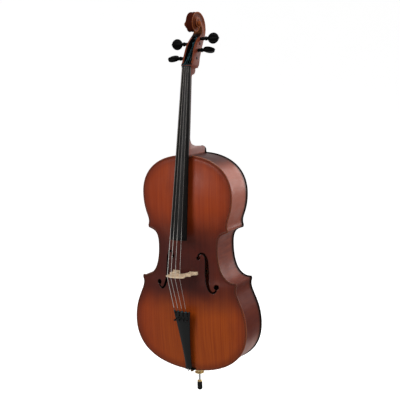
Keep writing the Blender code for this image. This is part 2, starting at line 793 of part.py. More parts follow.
def make_ribs():
    bore = rod_along("plug_bore", (0, 0, 0.08), (0, 0, 0.16), PLUG_BORE_RADIUS, EBONY, 20, CUTTERS)
    depth = HALF_DEPTH - GAP
    half = HEEL_HALF_WIDTH + GAP
    root = box("root_notch", (-half, -0.07, BODY_TOP - 0.05), (half, 0.07, BODY_TOP + 0.05), MAPLE, CUTTERS)
    for side, word in ((-1, "bass"), (1, "treble")):
        for bout in RIB_STRETCHES:
            outline = strip(rib_stations(bout), OVERHANG, RIB_THICKNESS)
            if bout == "lower":
                outline = [Vector((max(x, GAP / 2), z)) for x, z in outline]
            rib = flat_in_xz(f"{bout}_rib_{word}", sided(outline, side), -depth, depth, MAPLE)
            if bout == "lower":
                boolean(rib, bore)
            if bout == "upper":
                boolean(rib, root)
        for bout, ends in LINING_ENDS.items():
            outline = strip(rib_stations(bout, *ends), INSIDE_RIBS, LINING_THICKNESS)
            for plate, face in (("front", -1), ("back", 1)):
                name = f"{bout}_lining_{plate}_{word}"
                edge = face * depth
                flat_in_xz(name, sided(outline, side), edge, edge - face * LINING_HEIGHT, BARE_WOOD)


def mirrored_outline(half):
    """A whole outline from its half on the treble side, whose first or last point is on the middle."""
    return half + [Vector((-x, z)) for x, z in reversed(half) if x > 0]


def make_blocks():
    depth = HALF_DEPTH - GAP
    bore = bpy.data.objects["plug_bore"]
    half = [inset_point(place, INSIDE_RIBS) for place in rib_stations("lower", 0.0, BOTTOM_BLOCK_END)]
    half.append(Vector((half[-1].x, BODY_BOTTOM + BOTTOM_BLOCK_LENGTH)))
    block = flat_in_xz("bottom_block", mirrored_outline(half), -depth, depth, BARE_WOOD)
    boolean(block, bore)
    half = [inset_point(place, INSIDE_RIBS) for place in rib_stations("upper", TOP_BLOCK_START, 6.0)]
    half[-1].x = 0.0
    half.insert(0, Vector((half[0].x, BODY_TOP - TOP_BLOCK_LENGTH)))
    flat_in_xz("top_block", mirrored_outline(half), -depth, depth, BARE_WOOD)
    for side, word in ((-1, "bass"), (1, "treble")):
        for name, *stretches in CORNER_BLOCKS:
            stations = [place for stretch in stretches for place in rib_stations(*stretch)]
            outline = [inset_point(place, INSIDE_RIBS) for place in stations]
            flat_in_xz(f"{name}_corner_block_{word}", sided(outline, side), -depth, depth, BARE_WOOD)


def inner_face(x, z):
    """Distance of a plate's inner face from the middle plane."""
    return HALF_DEPTH + arch(x, z)


def make_bass_bar_and_post():
    start, end = BASS_BAR_ENDS
    low_height, high_height = BASS_BAR_HEIGHTS
    low = BASS_BAR_X - BASS_BAR_HALF_WIDTH
    high = BASS_BAR_X + BASS_BAR_HALF_WIDTH
    rings = []
    for z in places(start, end, 13):
        swell = math.sin(math.pi * (z - start) / (end - start))
        height = low_height + (high_height - low_height) * swell
        outer = -inner_face(low, z) + ARCH_GAP + ARCH_SAG
        inner = -inner_face(high, z) + ARCH_GAP + ARCH_SAG
        glued = [(low, outer, z), (high, inner, z)]
        rings.append(glued + [(high, inner + height, z), (low, outer + height, z)])
    loft("bass_bar", rings, BARE_WOOD)
    post_z = BRIDGE_Z - POST_BEHIND_BRIDGE
    reach = inner_face(POST_X + POST_RADIUS, post_z) - ARCH_GAP - ARCH_SAG
    foot = (POST_X, -reach, post_z)
    rod_along("sound_post", foot, (POST_X, reach, post_z), POST_RADIUS, BARE_WOOD, 12)


def board_share(z):
    """0 at the nut and 1 at the fingerboard's lower end."""
    return (NUT_Z - z) / (NUT_Z - BOARD_END_Z)


def board_surface(z):
    return BOARD_NUT_Y + (BOARD_END_Y - BOARD_NUT_Y) * board_share(z)


def board_half_width(z):
    return BOARD_NUT_HALF_WIDTH + (BOARD_END_HALF_WIDTH - BOARD_NUT_HALF_WIDTH) * board_share(z)


def crown(x, radius=BOARD_RADIUS):
    """How far a round surface has fallen away at a distance from its middle."""
    return radius - math.sqrt(radius * radius - x * x)


def board_underside(z):
    """The straight glue line between the fingerboard and the neck."""
    at_nut, at_end = (
        board_surface(end) + crown(board_half_width(end)) + BOARD_EDGE for end in (NUT_Z, BOARD_END_Z)
    )
    return at_nut + (at_end - at_nut) * board_share(z)


def neck_ring(z, front, shoulder, back, front_half, back_half, boxiness):
    """A section of the neck: a flat front, straight sides and a rounded back."""
    ring = [(-front_half, front, z), (front_half, front, z)]
    steps = 8
    for i in range(steps + 1):
        angle = math.pi * i / steps
        across = math.copysign(abs(math.cos(angle)) ** boxiness, math.cos(angle))
        depth = math.sin(angle) ** boxiness if 0 < i < steps else 0.0
        ring.append((back_half * across, shoulder + (back - shoulder) * depth, z))
    return ring


def make_neck():
    rings = []
    for z, shoulder, rear, half in HEEL_STATIONS:
        front_half = min(HEEL_HALF_WIDTH, board_half_width(z) - NECK_STEP)
        rings.append(neck_ring(z, board_underside(z), shoulder, rear, front_half, half, 1.0))
    for z in NECK_HEIGHTS:
        low = (NUT_Z - z) / (NUT_Z - NECK_HEIGHTS[0])
        rear = board_surface(z) + NECK_THICKNESS + (NECK_THICKNESS_LOW - NECK_THICKNESS) * low
        half = board_half_width(z) - NECK_STEP
        under = board_underside(z)
        rings.append(neck_ring(z, under, under + NECK_SIDE, rear, half, half, 1.0))
    for z, shoulder, rear, half, boxiness in CHIN_STATIONS:
        rings.append(neck_ring(z, board_underside(z), shoulder, rear, CHIN_FRONT_HALF, half, boxiness))
    for z, front, rear, half in PEGBOX_STATIONS:
        rings.append(neck_ring(z, front, rear - PEGBOX_ROUNDING, rear, half, half, PEGBOX_BOXINESS))
    neck = loft("neck_and_scroll", rings, MAPLE)
    hollow = []
    for z, front, rear, half in PEGBOX_STATIONS[:-1]:
        inner = half - PEGBOX_WALL
        mouth = front - 0.012
        floor = rear - PEGBOX_FLOOR
        place = max(z, PEGBOX_HOLLOW_BOTTOM)
        front_edge = [(-inner, mouth, place), (inner, mouth, place)]
        hollow.append(front_edge + [(inner, floor, place), (-inner, floor, place)])
    boolean(neck, loft("pegbox_hollow", hollow, MAPLE, CUTTERS))
    for name, _, (y, z), _, _ in PEGS:
        start = (-0.04, y, z)
        end = (0.04, y, z)
        boolean(neck, rod_along(f"{name}_bore", start, end, PEG_HOLE_RADIUS, MAPLE, 14, CUTTERS))
    add_scroll(neck)


def scroll_radius(quarter):
    """Radius of the scroll's outer edge, by quarter turns from its back."""
    last = len(SCROLL_RADII) - 1
    place = min(max(quarter + 1, 0), last - 0.001)
    i = int(place)
    t = place - i
    p, q, r, s = (SCROLL_RADII[min(max(k, 0), last)] for k in (i - 1, i, i + 1, i + 2))
    return 0.5 * (2 * q + (r - p) * t + (2 * p - 5 * q + 4 * r - s) * t * t + (3 * q - p - 3 * r + s) * t**3)


def scroll_point(quarter):
    angle = quarter * math.pi / 2
    radius = scroll_radius(quarter)
    return (SCROLL_EYE[0] + radius * math.cos(angle), SCROLL_EYE[1] + radius * math.sin(angle))


def add_scroll(neck):
    """Joins the scroll's turns to the neck, each wider than the one outside it, and the eyes."""
    for number, (first, last, half) in enumerate(SCROLL_TURNS):
        outline = [scroll_point(quarter) for quarter in places(first, last, 17)]
        turn = flat_in_yz(f"scroll_turn_{number}", outline, -half, half, MAPLE, CUTTERS)
        boolean(neck, turn, "UNION")
    y, z = SCROLL_EYE
    reach = SCROLL_EYE_HALF_WIDTH
    eye = rod_along("scroll_eye", (-reach, y, z), (reach, y, z), SCROLL_EYE_RADIUS, MAPLE, 14, CUTTERS)
    boolean(neck, eye, "UNION")


def crowned_ring(half, level, under, z, count=7):
    """A section with a crowned front at a level, and a flat underside."""
    front = [(x, level + crown(x), z) for x in places(-half, half, count)]
    return front + [(half, under, z), (-half, under, z)]


def make_fingerboard_and_nut():
    rings = [
        crowned_ring(board_half_width(z), board_surface(z), board_underside(z) - GAP, z)
        for z in (BOARD_END_Z, NUT_Z - GAP)
    ]
    loft("fingerboard", rings, EBONY)
    half = BOARD_NUT_HALF_WIDTH + NUT_STEP
    rings = [
        crowned_ring(half, BOARD_NUT_Y - lift, nut_seat(z), z)
        for z, lift in ((NUT_Z, NUT_LIFT), (NUT_Z + NUT_LENGTH, NUT_LIFT_FAR))
    ]
    loft("nut", rings, EBONY)


def nut_seat(z):
    """The nut's underside, just clear of the neck's front between the chin and the pegbox."""
    low_z = CHIN_STATIONS[-1][0]
    high_z, high_front = PEGBOX_STATIONS[0][:2]
    low_front = board_underside(low_z)
    return low_front + (high_front - low_front) * (z - low_z) / (high_z - low_z) - GAP


def bridge_top(x):
    return BRIDGE_TOP_Y + crown(x, BRIDGE_TOP_RADIUS)


def bridge_foot(x):
    return -PLATE_OUTSIDE - arch(x, BRIDGE_Z) - GAP


def make_bridge():
    """A blank of the bridge's outline, thinned from its feet to its top, with the heart cut through."""
    foot_inner, foot_middle, foot_outer = BRIDGE_FOOT
    base = bridge_foot(foot_inner)
    half = [(x, base - rise) for x, rise in BRIDGE_ARCH]
    half += [(x, bridge_foot(x)) for x in BRIDGE_FOOT]
    half.append((foot_outer - BRIDGE_FOOT_DRAFT, bridge_foot(foot_outer) - BRIDGE_FOOT_EDGE))
    half += [(x, base - rise) for x, rise in BRIDGE_SIDE]
    half += [(x, bridge_top(x)) for x in BRIDGE_TOP_PLACES]
    outline = half + [(-x, y) for x, y in reversed(half[1:-1])]
    blank = plate_curve("bridge", outline, BRIDGE_THICKNESS[0])
    mesh = mesh_from(blank, "bridge")
    span = bridge_top(0) - base
    for vertex in mesh.vertices:
        share = min(max((vertex.co.y - base) / span, 0), 1)
        slim = 1 + (BRIDGE_THICKNESS[1] / BRIDGE_THICKNESS[0] - 1) * share
        vertex.co.z = vertex.co.z * slim + BRIDGE_Z
    bridge = add_mesh("bridge", mesh, BRIDGE_WOOD)
    heart_y = base - BRIDGE_HEART_RISE
    reach = BRIDGE_THICKNESS[0]
    start = (0, heart_y, BRIDGE_Z - reach)
    end = (0, heart_y, BRIDGE_Z + reach)
    boolean(bridge, rod_along("heart", start, end, BRIDGE_HEART_RADIUS, EBONY, 12, CUTTERS))


def pegbox_half_width(z):
    """Outer half width of the pegbox at a height."""
    for (low, _, _, half), (high, _, _, next_half) in zip(PEGBOX_STATIONS, PEGBOX_STATIONS[1:]):
        if low <= z <= high:
            return half + (next_half - half) * (z - low) / (high - low)
    return PEGBOX_STATIONS[0][3]


def make_pegs():
    """Each peg is turned about its own axis, which the shaft shares with its joint."""
    length, height, thick = PEG_HEAD_SIZE
    for name, side, (y, z), turn, centre in PEGS:
        tip = -pegbox_half_width(z) - PEG_TIP_REACH
        inner = centre - length
        profile = (
            (0.0, centre - 0.004),
            (PEG_NECK_RADIUS, centre - 0.006),
            (PEG_NECK_RADIUS, inner - 0.001),
            (PEG_COLLAR_RADIUS, inner - 0.003),
            (PEG_COLLAR_RADIUS, inner - 0.006),
            (PEG_RADIUS, inner - 0.008),
            (PEG_RADIUS, 0.0),
            (PEG_RADIUS - PEG_TAPER, tip + 0.001),
            (PEG_RADIUS - PEG_TAPER - 0.0009, tip),
            (0.0, tip),
        )
        peg = turned(name, profile, EBONY, 12)
        bm = bmesh.new()
        bmesh.ops.create_uvsphere(bm, u_segments=10, v_segments=7, radius=1.0)
        bm.transform(Matrix.Translation((0, 0, centre)) @ Matrix.Diagonal((height, thick, length, 1.0)))
        head = add_bmesh(f"{name}_head", bm, EBONY, CUTTERS)
        boolean(peg, head, "UNION")
        bpy.context.view_layer.update()
        graph = bpy.context.evaluated_depsgraph_get()
        whole = bpy.data.meshes.new_from_object(peg.evaluated_get(graph))
        peg.modifiers.clear()
        peg.data = whole
        bpy.data.objects.remove(head, do_unlink=True)
        finish_mesh(whole)
        sideways = Matrix.Rotation(side * math.pi / 2, 4, "Y")
        peg.matrix_world = Matrix.Translation((0, y, z)) @ sideways @ Matrix.Rotation(turn, 4, "Z")


def tail_axis():
    """The tailpiece's length, and its tilt about X."""
    along = Vector((0, TAIL_TOP[0] - TAIL_BOTTOM[0], TAIL_TOP[1] - TAIL_BOTTOM[1]))
    return along.length, math.atan2(-along.y, along.z)


TAIL_LENGTH, TAIL_TILT = tail_axis()
TAIL_FRAME = Matrix.Translation((0, *TAIL_TOP)) @ Matrix.Rotation(TAIL_TILT, 4, "X")


def tail_point(x, out, along):
    """A world point from the tailpiece's own frame: across, out of its face, and along it."""
    return TAIL_FRAME @ Vector((x, -out, along))


def string_run(radius, nut_x, bridge_x, tail_x, peg):
    """A string's centre line: its turns on the peg, the nut, the bridge and the tuner."""
    peg_y, peg_z = next(row[2] for row in PEGS if row[0] == peg)
    clear = radius + 2 * GAP
    nut_far = Vector((BOARD_NUT_Y - NUT_LIFT_FAR + crown(nut_x) - clear, NUT_Z + NUT_LENGTH))
    nut_near = Vector((BOARD_NUT_Y - NUT_LIFT + crown(nut_x) - clear, NUT_Z + 0.0010))
    coil = PEG_RADIUS + radius + COIL_GAP
    back = nut_far - Vector((peg_y, peg_z))
    touch = math.atan2(back.y, back.x) - math.acos(coil / back.length)
    pitch = math.copysign(2 * radius + 0.0002, nut_x)
    start_x = COIL_START * nut_x
    points = []
    for i in range(COIL_TURNS * COIL_STEPS, -1, -1):
        angle = touch - 2 * math.pi * i / COIL_STEPS
        y = peg_y + coil * math.cos(angle)
        z = peg_z + coil * math.sin(angle)
        points.append((start_x + pitch * i / COIL_STEPS, y, z))
    crest = bridge_top(bridge_x) - clear
    half = BRIDGE_THICKNESS[1] / 2
    points.append((nut_x, nut_far.x, nut_far.y))
    points.append((nut_x, nut_near.x, nut_near.y))
    points.append((bridge_x, crest, BRIDGE_Z + half))
    points.append((bridge_x, crest, BRIDGE_Z - half))
    points.append(tuple(tail_point(tail_x, *STRING_END)))
    return points


def make_strings():
    for name, radius, nut_x, bridge_x, tail_x, peg in STRINGS:
        wire(name, string_run(radius, nut_x, bridge_x, tail_x, peg), radius, STRING_STEEL)


def tail_bore(name, start, end, radius):
    """A cutter between two places in the tailpiece's frame."""
    return rod_along(name, tail_point(*start), tail_point(*end), radius, TAIL_PLASTIC, 10, CUTTERS)


def make_tailpiece():
    rings = []
    crest = TAIL_THICKNESS / 2
    wide, narrow = TAIL_HALF_WIDTHS
    for share in TAIL_SHARES:
        along = -TAIL_LENGTH * share
        half = narrow + (wide - narrow) * (1 - share) ** TAIL_TAPER
        if share == 1.0:
            half -= TAIL_END_ROUNDING
        ring = [tail_point(x, crest - TAIL_CROWN * (x / half) ** 2, along) for x in places(-half, half, 7)]
        ring += [tail_point(half, -crest, along), tail_point(-half, -crest, along)]
        rings.append(ring)
    tailpiece = loft("tailpiece", rings, TAIL_PLASTIC)
    slot_half = LEVER_WIDTH / 2 + LEVER_PLAY
    for name, _, _, _, x, _ in STRINGS:
        word = name[-1]
        low = (x - slot_half, -0.02, TUNER_PIVOT - 0.0065)
        high = (x + slot_half, 0.02, 0.01)
        slot = box(f"slot_{word}", low, high, TAIL_PLASTIC, CUTTERS)
        slot.matrix_world = TAIL_FRAME
        boolean(tailpiece, slot)
        start = (x, -0.02, TUNER_SCREW)
        end = (x, 0.02, TUNER_SCREW)
        boolean(tailpiece, tail_bore(f"screw_bore_{word}", start, end, SCREW_BORE_RADIUS))
    reach = AXLE_REACH
    start = (-reach, 0, TUNER_PIVOT)
    end = (reach, 0, TUNER_PIVOT)
    boolean(tailpiece, tail_bore("axle_bore", start, end, AXLE_BORE_RADIUS))
    start = tail_point(GAP - reach, 0, TUNER_PIVOT)
    end = tail_point(reach - GAP, 0, TUNER_PIVOT)
    rod_along("tuner_axle", start, end, AXLE_RADIUS, BLACK_METAL, 10)
    for side, word in ((-1, "bass"), (1, "treble")):
        x = side * CORD_HALF_SPREAD
        start = (x, 0, -TAIL_LENGTH - 0.01)
        end = (x, 0, -TAIL_LENGTH + CORD_HOLE_DEPTH)
        boolean(tailpiece, tail_bore(f"cord_hole_{word}", start, end, CORD_RADIUS + 0.0005))


def make_tuners():
    """On each string a lever that turns on the shared axle and a screw that presses on its tail."""
    for name, _, _, _, x, _ in STRINGS:
        word = name[-1]
        outline = [(-out, along - TUNER_PIVOT) for out, along in LEVER_SIDE]
        blank = plate_curve(f"tuner_lever_{word}", outline, LEVER_WIDTH)
        blank.matrix_world = ACROSS_X
        lever = add_mesh(f"tuner_lever_{word}", mesh_from(blank, f"tuner_lever_{word}"), BLACK_METAL)
        lever.matrix_world = TAIL_FRAME @ Matrix.Translation((x, 0, TUNER_PIVOT))
        start = (-0.01, 0, 0)
        end = (0.01, 0, 0)
        eye = rod_along(f"lever_bore_{word}", start, end, AXLE_BORE_RADIUS, BLACK_METAL, 10, CUTTERS)
        eye.matrix_world = lever.matrix_world
        boolean(lever, eye)
        screw = turned(f"tuner_screw_{word}", TUNER_SCREW_PROFILE, BLACK_METAL, 12)
        outwards = Matrix.Rotation(math.pi / 2, 4, "X")
        screw.matrix_world = TAIL_FRAME @ Matrix.Translation((x, 0, TUNER_SCREW)) @ outwards


def make_saddle_and_cord():
    top = BODY_BOTTOM + SADDLE_HEIGHT
    low = BODY_BOTTOM + OVERHANG
    front = -HALF_DEPTH - SADDLE_RISE
    outline = (
        (-HALF_DEPTH, low),
        (-HALF_DEPTH, top),
        (front + SADDLE_EDGE, top),
        (front, top - SADDLE_EDGE),
        (front, low),
    )
    flat_in_yz("saddle", outline, -SADDLE_HALF_WIDTH, SADDLE_HALF_WIDTH, EBONY)
    around = PLUG_GROOVE_RADIUS + CORD_RADIUS + 0.0006
    route = [tuple(tail_point(CORD_HALF_SPREAD, 0, end - TAIL_LENGTH)) for end in (0.012, -0.002)]
    route += [*CORD_ROUTE, (around, -0.0080, CORD_LEVEL)]
    arc = [
        (around * math.cos(angle), around * math.sin(angle), CORD_LEVEL) for angle in places(0, math.pi, 11)
    ]
    mirrored = [(-x, y, z) for x, y, z in reversed(route)]
    wire("tail_cord", route + arc + mirrored, CORD_RADIUS, CORD)


def make_endpin():
    turned("endpin_plug", PLUG_PROFILE, EBONY, 20)
    collar = turned("endpin_collar", COLLAR_PROFILE, GOLD, 20)
    outward = Vector((math.cos(THUMBSCREW_AZIMUTH), math.sin(THUMBSCREW_AZIMUTH), 0))
    centre = Vector((0, 0, THUMBSCREW_Z))
    thread = rod_along("thumbscrew_bore", centre, centre + outward * 0.03, 0.0021, GOLD, 12, CUTTERS)
    boolean(collar, thread)
    screw = turned("endpin_thumbscrew", THUMBSCREW_PROFILE, GOLD, 16)
    screw.matrix_world = Matrix.Translation(centre) @ outward.to_track_quat("Z", "Y").to_matrix().to_4x4()
    rod_along("endpin_rod", (0, 0, TIP_SOCKET + 0.0005), (0, 0, ROD_TOP), ROD_RADIUS, STEEL, 14)
    turned("tip_ferrule", FERRULE_PROFILE, GOLD, 16)
    turned("rubber_tip", TIP_PROFILE, RUBBER, 16)


make_plates()
make_ribs()
make_blocks()
make_bass_bar_and_post()
make_neck()
make_fingerboard_and_nut()
make_bridge()
make_pegs()
make_strings()
make_tailpiece()
make_tuners()
make_saddle_and_cord()
make_endpin()
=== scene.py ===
"""The looks of a full-size cello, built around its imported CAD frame. Metres, +Z up, front at -Y."""

import math

import bmesh
import bpy
import numpy as np
from mathutils import Matrix, Vector
from mathutils.geometry import delaunay_2d_cdt


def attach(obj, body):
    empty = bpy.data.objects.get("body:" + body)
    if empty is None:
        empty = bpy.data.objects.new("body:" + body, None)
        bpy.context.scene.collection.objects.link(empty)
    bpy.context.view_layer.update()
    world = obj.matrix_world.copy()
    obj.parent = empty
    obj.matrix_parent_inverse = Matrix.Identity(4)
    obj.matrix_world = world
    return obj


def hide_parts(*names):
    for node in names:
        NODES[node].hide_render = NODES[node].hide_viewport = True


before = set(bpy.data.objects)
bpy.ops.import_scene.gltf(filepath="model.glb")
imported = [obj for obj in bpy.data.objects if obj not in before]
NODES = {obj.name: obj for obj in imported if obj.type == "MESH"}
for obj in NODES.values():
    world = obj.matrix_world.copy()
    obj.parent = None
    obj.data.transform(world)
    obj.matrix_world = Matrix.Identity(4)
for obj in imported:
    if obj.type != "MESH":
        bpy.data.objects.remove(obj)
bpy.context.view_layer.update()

# ---------------------------------------------------------------- sizes that the frame's solids share
BODY_BOTTOM = 0.093
BODY_LENGTH = 0.755
BODY_TOP = BODY_BOTTOM + BODY_LENGTH
HALF_DEPTH = 0.059
PLATE = 0.0045
PLATE_OUTSIDE = HALF_DEPTH + PLATE
ARCH_HEIGHT = 0.023
MARGIN = 0.010
OVERHANG = 0.003
BUTTON_HALF = 0.0155
BUTTON_TOP = 0.870
LOWER_BOUT = (0.2185, 0.1625)
LOWER_CORNER = (0.185, 0.319)
LOWER_CORNER_END = (0.1825, 0.328)
WAIST = (0.115, 0.439)
UPPER_CORNER = (0.154, 0.4985)
UPPER_CORNER_END = (0.1555, 0.5065)
UPPER_BOUT = (0.172, 0.620)
BODY_BEZIERS = (
    ((0.0, 0.0), (0.0505, 0.0), (0.0, -0.149), LOWER_BOUT),
    (LOWER_BOUT, (0.0, 0.091), (-0.018, -0.036), LOWER_CORNER),
    (LOWER_CORNER_END, (-0.040, -0.004), (0.0, -0.082), WAIST),
    (WAIST, (0.0, 0.054), (-0.0175, -0.008), UPPER_CORNER),
    (UPPER_CORNER_END, (-0.012, 0.0295), (0.0, -0.072), UPPER_BOUT),
    (UPPER_BOUT, (0.0, 0.084), (0.105, 0.0), (0.0, BODY_LENGTH)),
)
F_PATH = (
    (0.049, 0.500),
    (0.0505, 0.511),
    (0.060, 0.5165),
    (0.0695, 0.510),
    (0.0755, 0.490),
    (0.0765, 0.455),
    (0.079, 0.420),
    (0.0865, 0.394),
    (0.098, 0.3825),
    (0.109, 0.388),
    (0.1115, 0.402),
)
F_EYES = (0.0062, 0.0085)


# ---------------------------------------------------------------- camera, light and stage
def make_camera():
    """The photograph's view: from the front and the treble side, a little above the middle."""
    azimuth, elevation, roll = math.radians(28.72), math.radians(9.48), math.radians(-1.45)
    level = math.cos(elevation)
    back = Vector((math.sin(azimuth) * level, -math.cos(azimuth) * level, math.sin(elevation)))
    right = Vector((math.cos(azimuth), math.sin(azimuth), 0.0))
    up = back.cross(right)
    tilted_right = right * math.cos(roll) + up * math.sin(roll)
    tilted_up = back.cross(tilted_right)
    data = bpy.data.cameras.new("camera")
    data.sensor_width = 36.0
    data.lens = 77.2
    data.shift_x = 0.0111
    data.shift_y = 0.0327
    camera = bpy.data.objects.new("camera", data)
    bpy.context.scene.collection.objects.link(camera)
    turn = Matrix((tilted_right, tilted_up, back)).transposed().to_4x4()
    camera.matrix_world = Matrix.Translation(Vector((0, 0, 0.640)) + back * 2.9736) @ turn
    bpy.context.scene.camera = camera


def area_light(name, place, target, size, power):
    """A white rectangular light, aimed at a point."""
    data = bpy.data.lights.new(name, "AREA")
    data.shape = "RECTANGLE"
    data.size, data.size_y = size
    data.energy = power
    light = bpy.data.objects.new(name, data)
    bpy.context.scene.collection.objects.link(light)
    light.location = place
    light.rotation_euler = (Vector(target) - Vector(place)).to_track_quat("-Z", "Y").to_euler()


FLOOR_Z = -0.38  # below the endpin's tip when it is slid right out


def make_stage():
    """A white bowl of paper that fills every view, soft boxes and a dim even surround."""
    scene = bpy.context.scene
    scene.view_settings.view_transform = "Standard"
    world = bpy.data.worlds.new("studio")
    world.use_nodes = True
    scene.world = world
    background = world.node_tree.nodes["Background"]
    background.inputs["Color"].default_value = (1, 1, 1, 1)
    # The surround is brighter behind the object than on the camera's side.
    tree = world.node_tree
    direction = tree.nodes.new("ShaderNodeTexCoord")
    parts = tree.nodes.new("ShaderNodeSeparateXYZ")
    fade = tree.nodes.new("ShaderNodeMapRange")
    tree.links.new(direction.outputs["Generated"], parts.inputs[0])
    tree.links.new(parts.outputs["Y"], fade.inputs[0])
    for socket, value in zip(fade.inputs[1:5], (-0.2, 0.9, 0.34, 0.62)):
        socket.default_value = value
    tree.links.new(fade.outputs[0], background.inputs["Strength"])
    profile = [(0.0, 0.0), (2.0, 0.0), (6.0, 0.0)]
    profile += [(6.0 + 2.5 * math.sin(a), 2.5 - 2.5 * math.cos(a)) for a in places(0.1, math.pi / 2, 14)]
    profile += [(8.5, 9.0)]
    bm = lathe(profile, 96)
    bmesh.ops.reverse_faces(bm, faces=bm.faces)
    bowl = mesh_piece("paper_bowl", bm, paper(), 3.0)
    bowl.data.transform(Matrix.Translation((0, 0, FLOOR_Z)))
    bowl.visible_diffuse = False
    bowl.visible_glossy = False
    bowl.visible_shadow = False
    area_light("key", (-1.0, -2.9, 2.2), (0, 0, 0.7), (1.5, 2.0), 52)
    area_light("side", (2.9, -0.7, 1.7), (0, 0, 0.7), (1.2, 2.2), 20)
    area_light("top", (0.5, 1.2, 3.4), (0, 0, 0.9), (1.4, 1.4), 40)
    area_light("rim", (1.6, 2.7, 1.6), (0, 0, 0.8), (2.6, 2.2), 44)


# ---------------------------------------------------------------- node helpers
class Shader:
    """A small builder of one Principled material's nodes."""

    def __init__(self, name, colour, roughness, metallic=0.0, **sockets):
        self.material = bpy.data.materials.new(name)
        self.material.use_nodes = True
        self.tree = self.material.node_tree
        self.bsdf = self.tree.nodes["Principled BSDF"]
        self.bsdf.inputs["Base Color"].default_value = (*colour, 1)
        self.bsdf.inputs["Roughness"].default_value = roughness
        self.bsdf.inputs["Metallic"].default_value = metallic
        for socket, value in sockets.items():
            self.bsdf.inputs[socket.replace("_", " ")].default_value = value
        self.place = None

    def node(self, kind, settings=(), **inputs):
        made = self.tree.nodes.new("ShaderNode" + kind)
        for key, value in dict(settings).items():
            setattr(made, key, value)
        for key, value in inputs.items():
            socket = made.inputs[int(key[1:])] if key[0] == "i" and key[1:].isdigit() else made.inputs[key]
            if isinstance(value, bpy.types.NodeSocket):
                self.tree.links.new(value, socket)
            else:
                socket.default_value = value
        return made

    def coords(self, scale=(1, 1, 1)):
        if self.place is None:
            self.place = self.node("TexCoord").outputs["Object"]
        return self.node("Mapping", Vector=self.place, Scale=scale).outputs["Vector"]

    def noise(self, scale, detail=2.0, stretch=(1, 1, 1), distortion=0.0):
        place = self.coords(stretch)
        made = self.node("TexNoise", Vector=place, Scale=scale, Detail=detail, Distortion=distortion)
        return made.outputs["Fac"]

    def math(self, operation, a, b=0.0, c=0.0):
        return self.node("Math", {"operation": operation}, i0=a, i1=b, i2=c).outputs[0]

    def times(self, a, b):
        return self.math("MULTIPLY", a, b)

    def span(self, value, low, high, to_low=0.0, to_high=1.0, smooth=True):
        kind = "SMOOTHSTEP" if smooth else "LINEAR"
        made = self.node("MapRange", {"interpolation_type": kind, "clamp": True})
        for index, item in enumerate((value, low, high, to_low, to_high)):
            if isinstance(item, bpy.types.NodeSocket):
                self.tree.links.new(item, made.inputs[index])
            else:
                made.inputs[index].default_value = item
        return made.outputs[0]

    def mix(self, factor, a, b):
        made = self.node("Mix", {"data_type": "RGBA"})
        for index, item in ((0, factor), (6, a), (7, b)):
            if isinstance(item, bpy.types.NodeSocket):
                self.tree.links.new(item, made.inputs[index])
            elif index == 0:
                made.inputs[0].default_value = item
            else:
                made.inputs[index].default_value = (*item, 1)
        return made.outputs[2]

    def rise_and_fall(self, value, rise, fall):
        """One between the two spans, nothing outside them."""
        return self.times(self.span(value, *rise), self.span(value, *fall, 1.0, 0.0))

    def grain(self, value, dark, light, low=0.3, high=0.7):
        """Two tones, told apart by a pattern's value."""
        return self.mix(self.span(value, low, high), dark, light)

    def attribute(self, name):
        return self.node("Attribute", {"attribute_name": name}).outputs["Fac"]

    def axes(self):
        if self.place is None:
            self.coords()
        return self.node("SeparateXYZ", Vector=self.place).outputs

    def feed(self, socket, name):
        self.tree.links.new(socket, self.bsdf.inputs[name])

    def finish(self, colour, rough_from, rough, height, strength, distance):
        """Joins up the colour, a roughness that varies with a pattern, and the relief."""
        self.feed(colour, "Base Color")
        self.feed(self.span(rough_from, *rough), "Roughness")
        made = self.node("Bump", Height=height, Strength=strength, Distance=distance)
        self.feed(made.outputs["Normal"], "Normal")
        return self.material


def paper():
    """The white background, which shines a little by itself."""
    shader = Shader("pale_paper", (0.9, 0.9, 0.9), 1.0, Emission_Color=(1, 1, 1, 1), Emission_Strength=0.68)
    soft = shader.noise(3.0, 2.0)
    shader.feed(shader.mix(soft, (0.80, 0.80, 0.80), (0.83, 0.83, 0.83)), "Base Color")
    return shader.material


# ---------------------------------------------------------------- mesh helpers
def link_mesh(name, mesh, material, angle=0.7):
    """A piece from a mesh, smooth but for edges sharper than an angle."""
    mesh.shade_smooth()
    mesh.set_sharp_from_angle(angle=angle)
    piece = bpy.data.objects.new(name, mesh)
    bpy.context.scene.collection.objects.link(piece)
    mesh.materials.append(material)
    return piece


def mesh_piece(name, bm, material, angle=0.7):
    mesh = bpy.data.meshes.new(name)
    bm.to_mesh(mesh)
    bm.free()
    return link_mesh(name, mesh, material, angle)


def outward(bm):
    """Turns every face outwards."""
    bmesh.ops.recalc_face_normals(bm, faces=bm.faces)
    if bm.calc_volume(signed=True) < 0:
        bmesh.ops.reverse_faces(bm, faces=bm.faces)
    return bm


def loft(rings):
    """A closed skin through rings of equally many points, with flat ends."""
    bm = bmesh.new()
    rows = [[bm.verts.new(point) for point in ring] for ring in rings]
    count = len(rows[0])
    for lower, upper in zip(rows, rows[1:]):
        for i in range(count):
            j = (i + 1) % count
            bm.faces.new((lower[i], lower[j], upper[j], upper[i]))
    bm.faces.new(rows[0][::-1])
    bm.faces.new(rows[-1])
    return outward(bm)


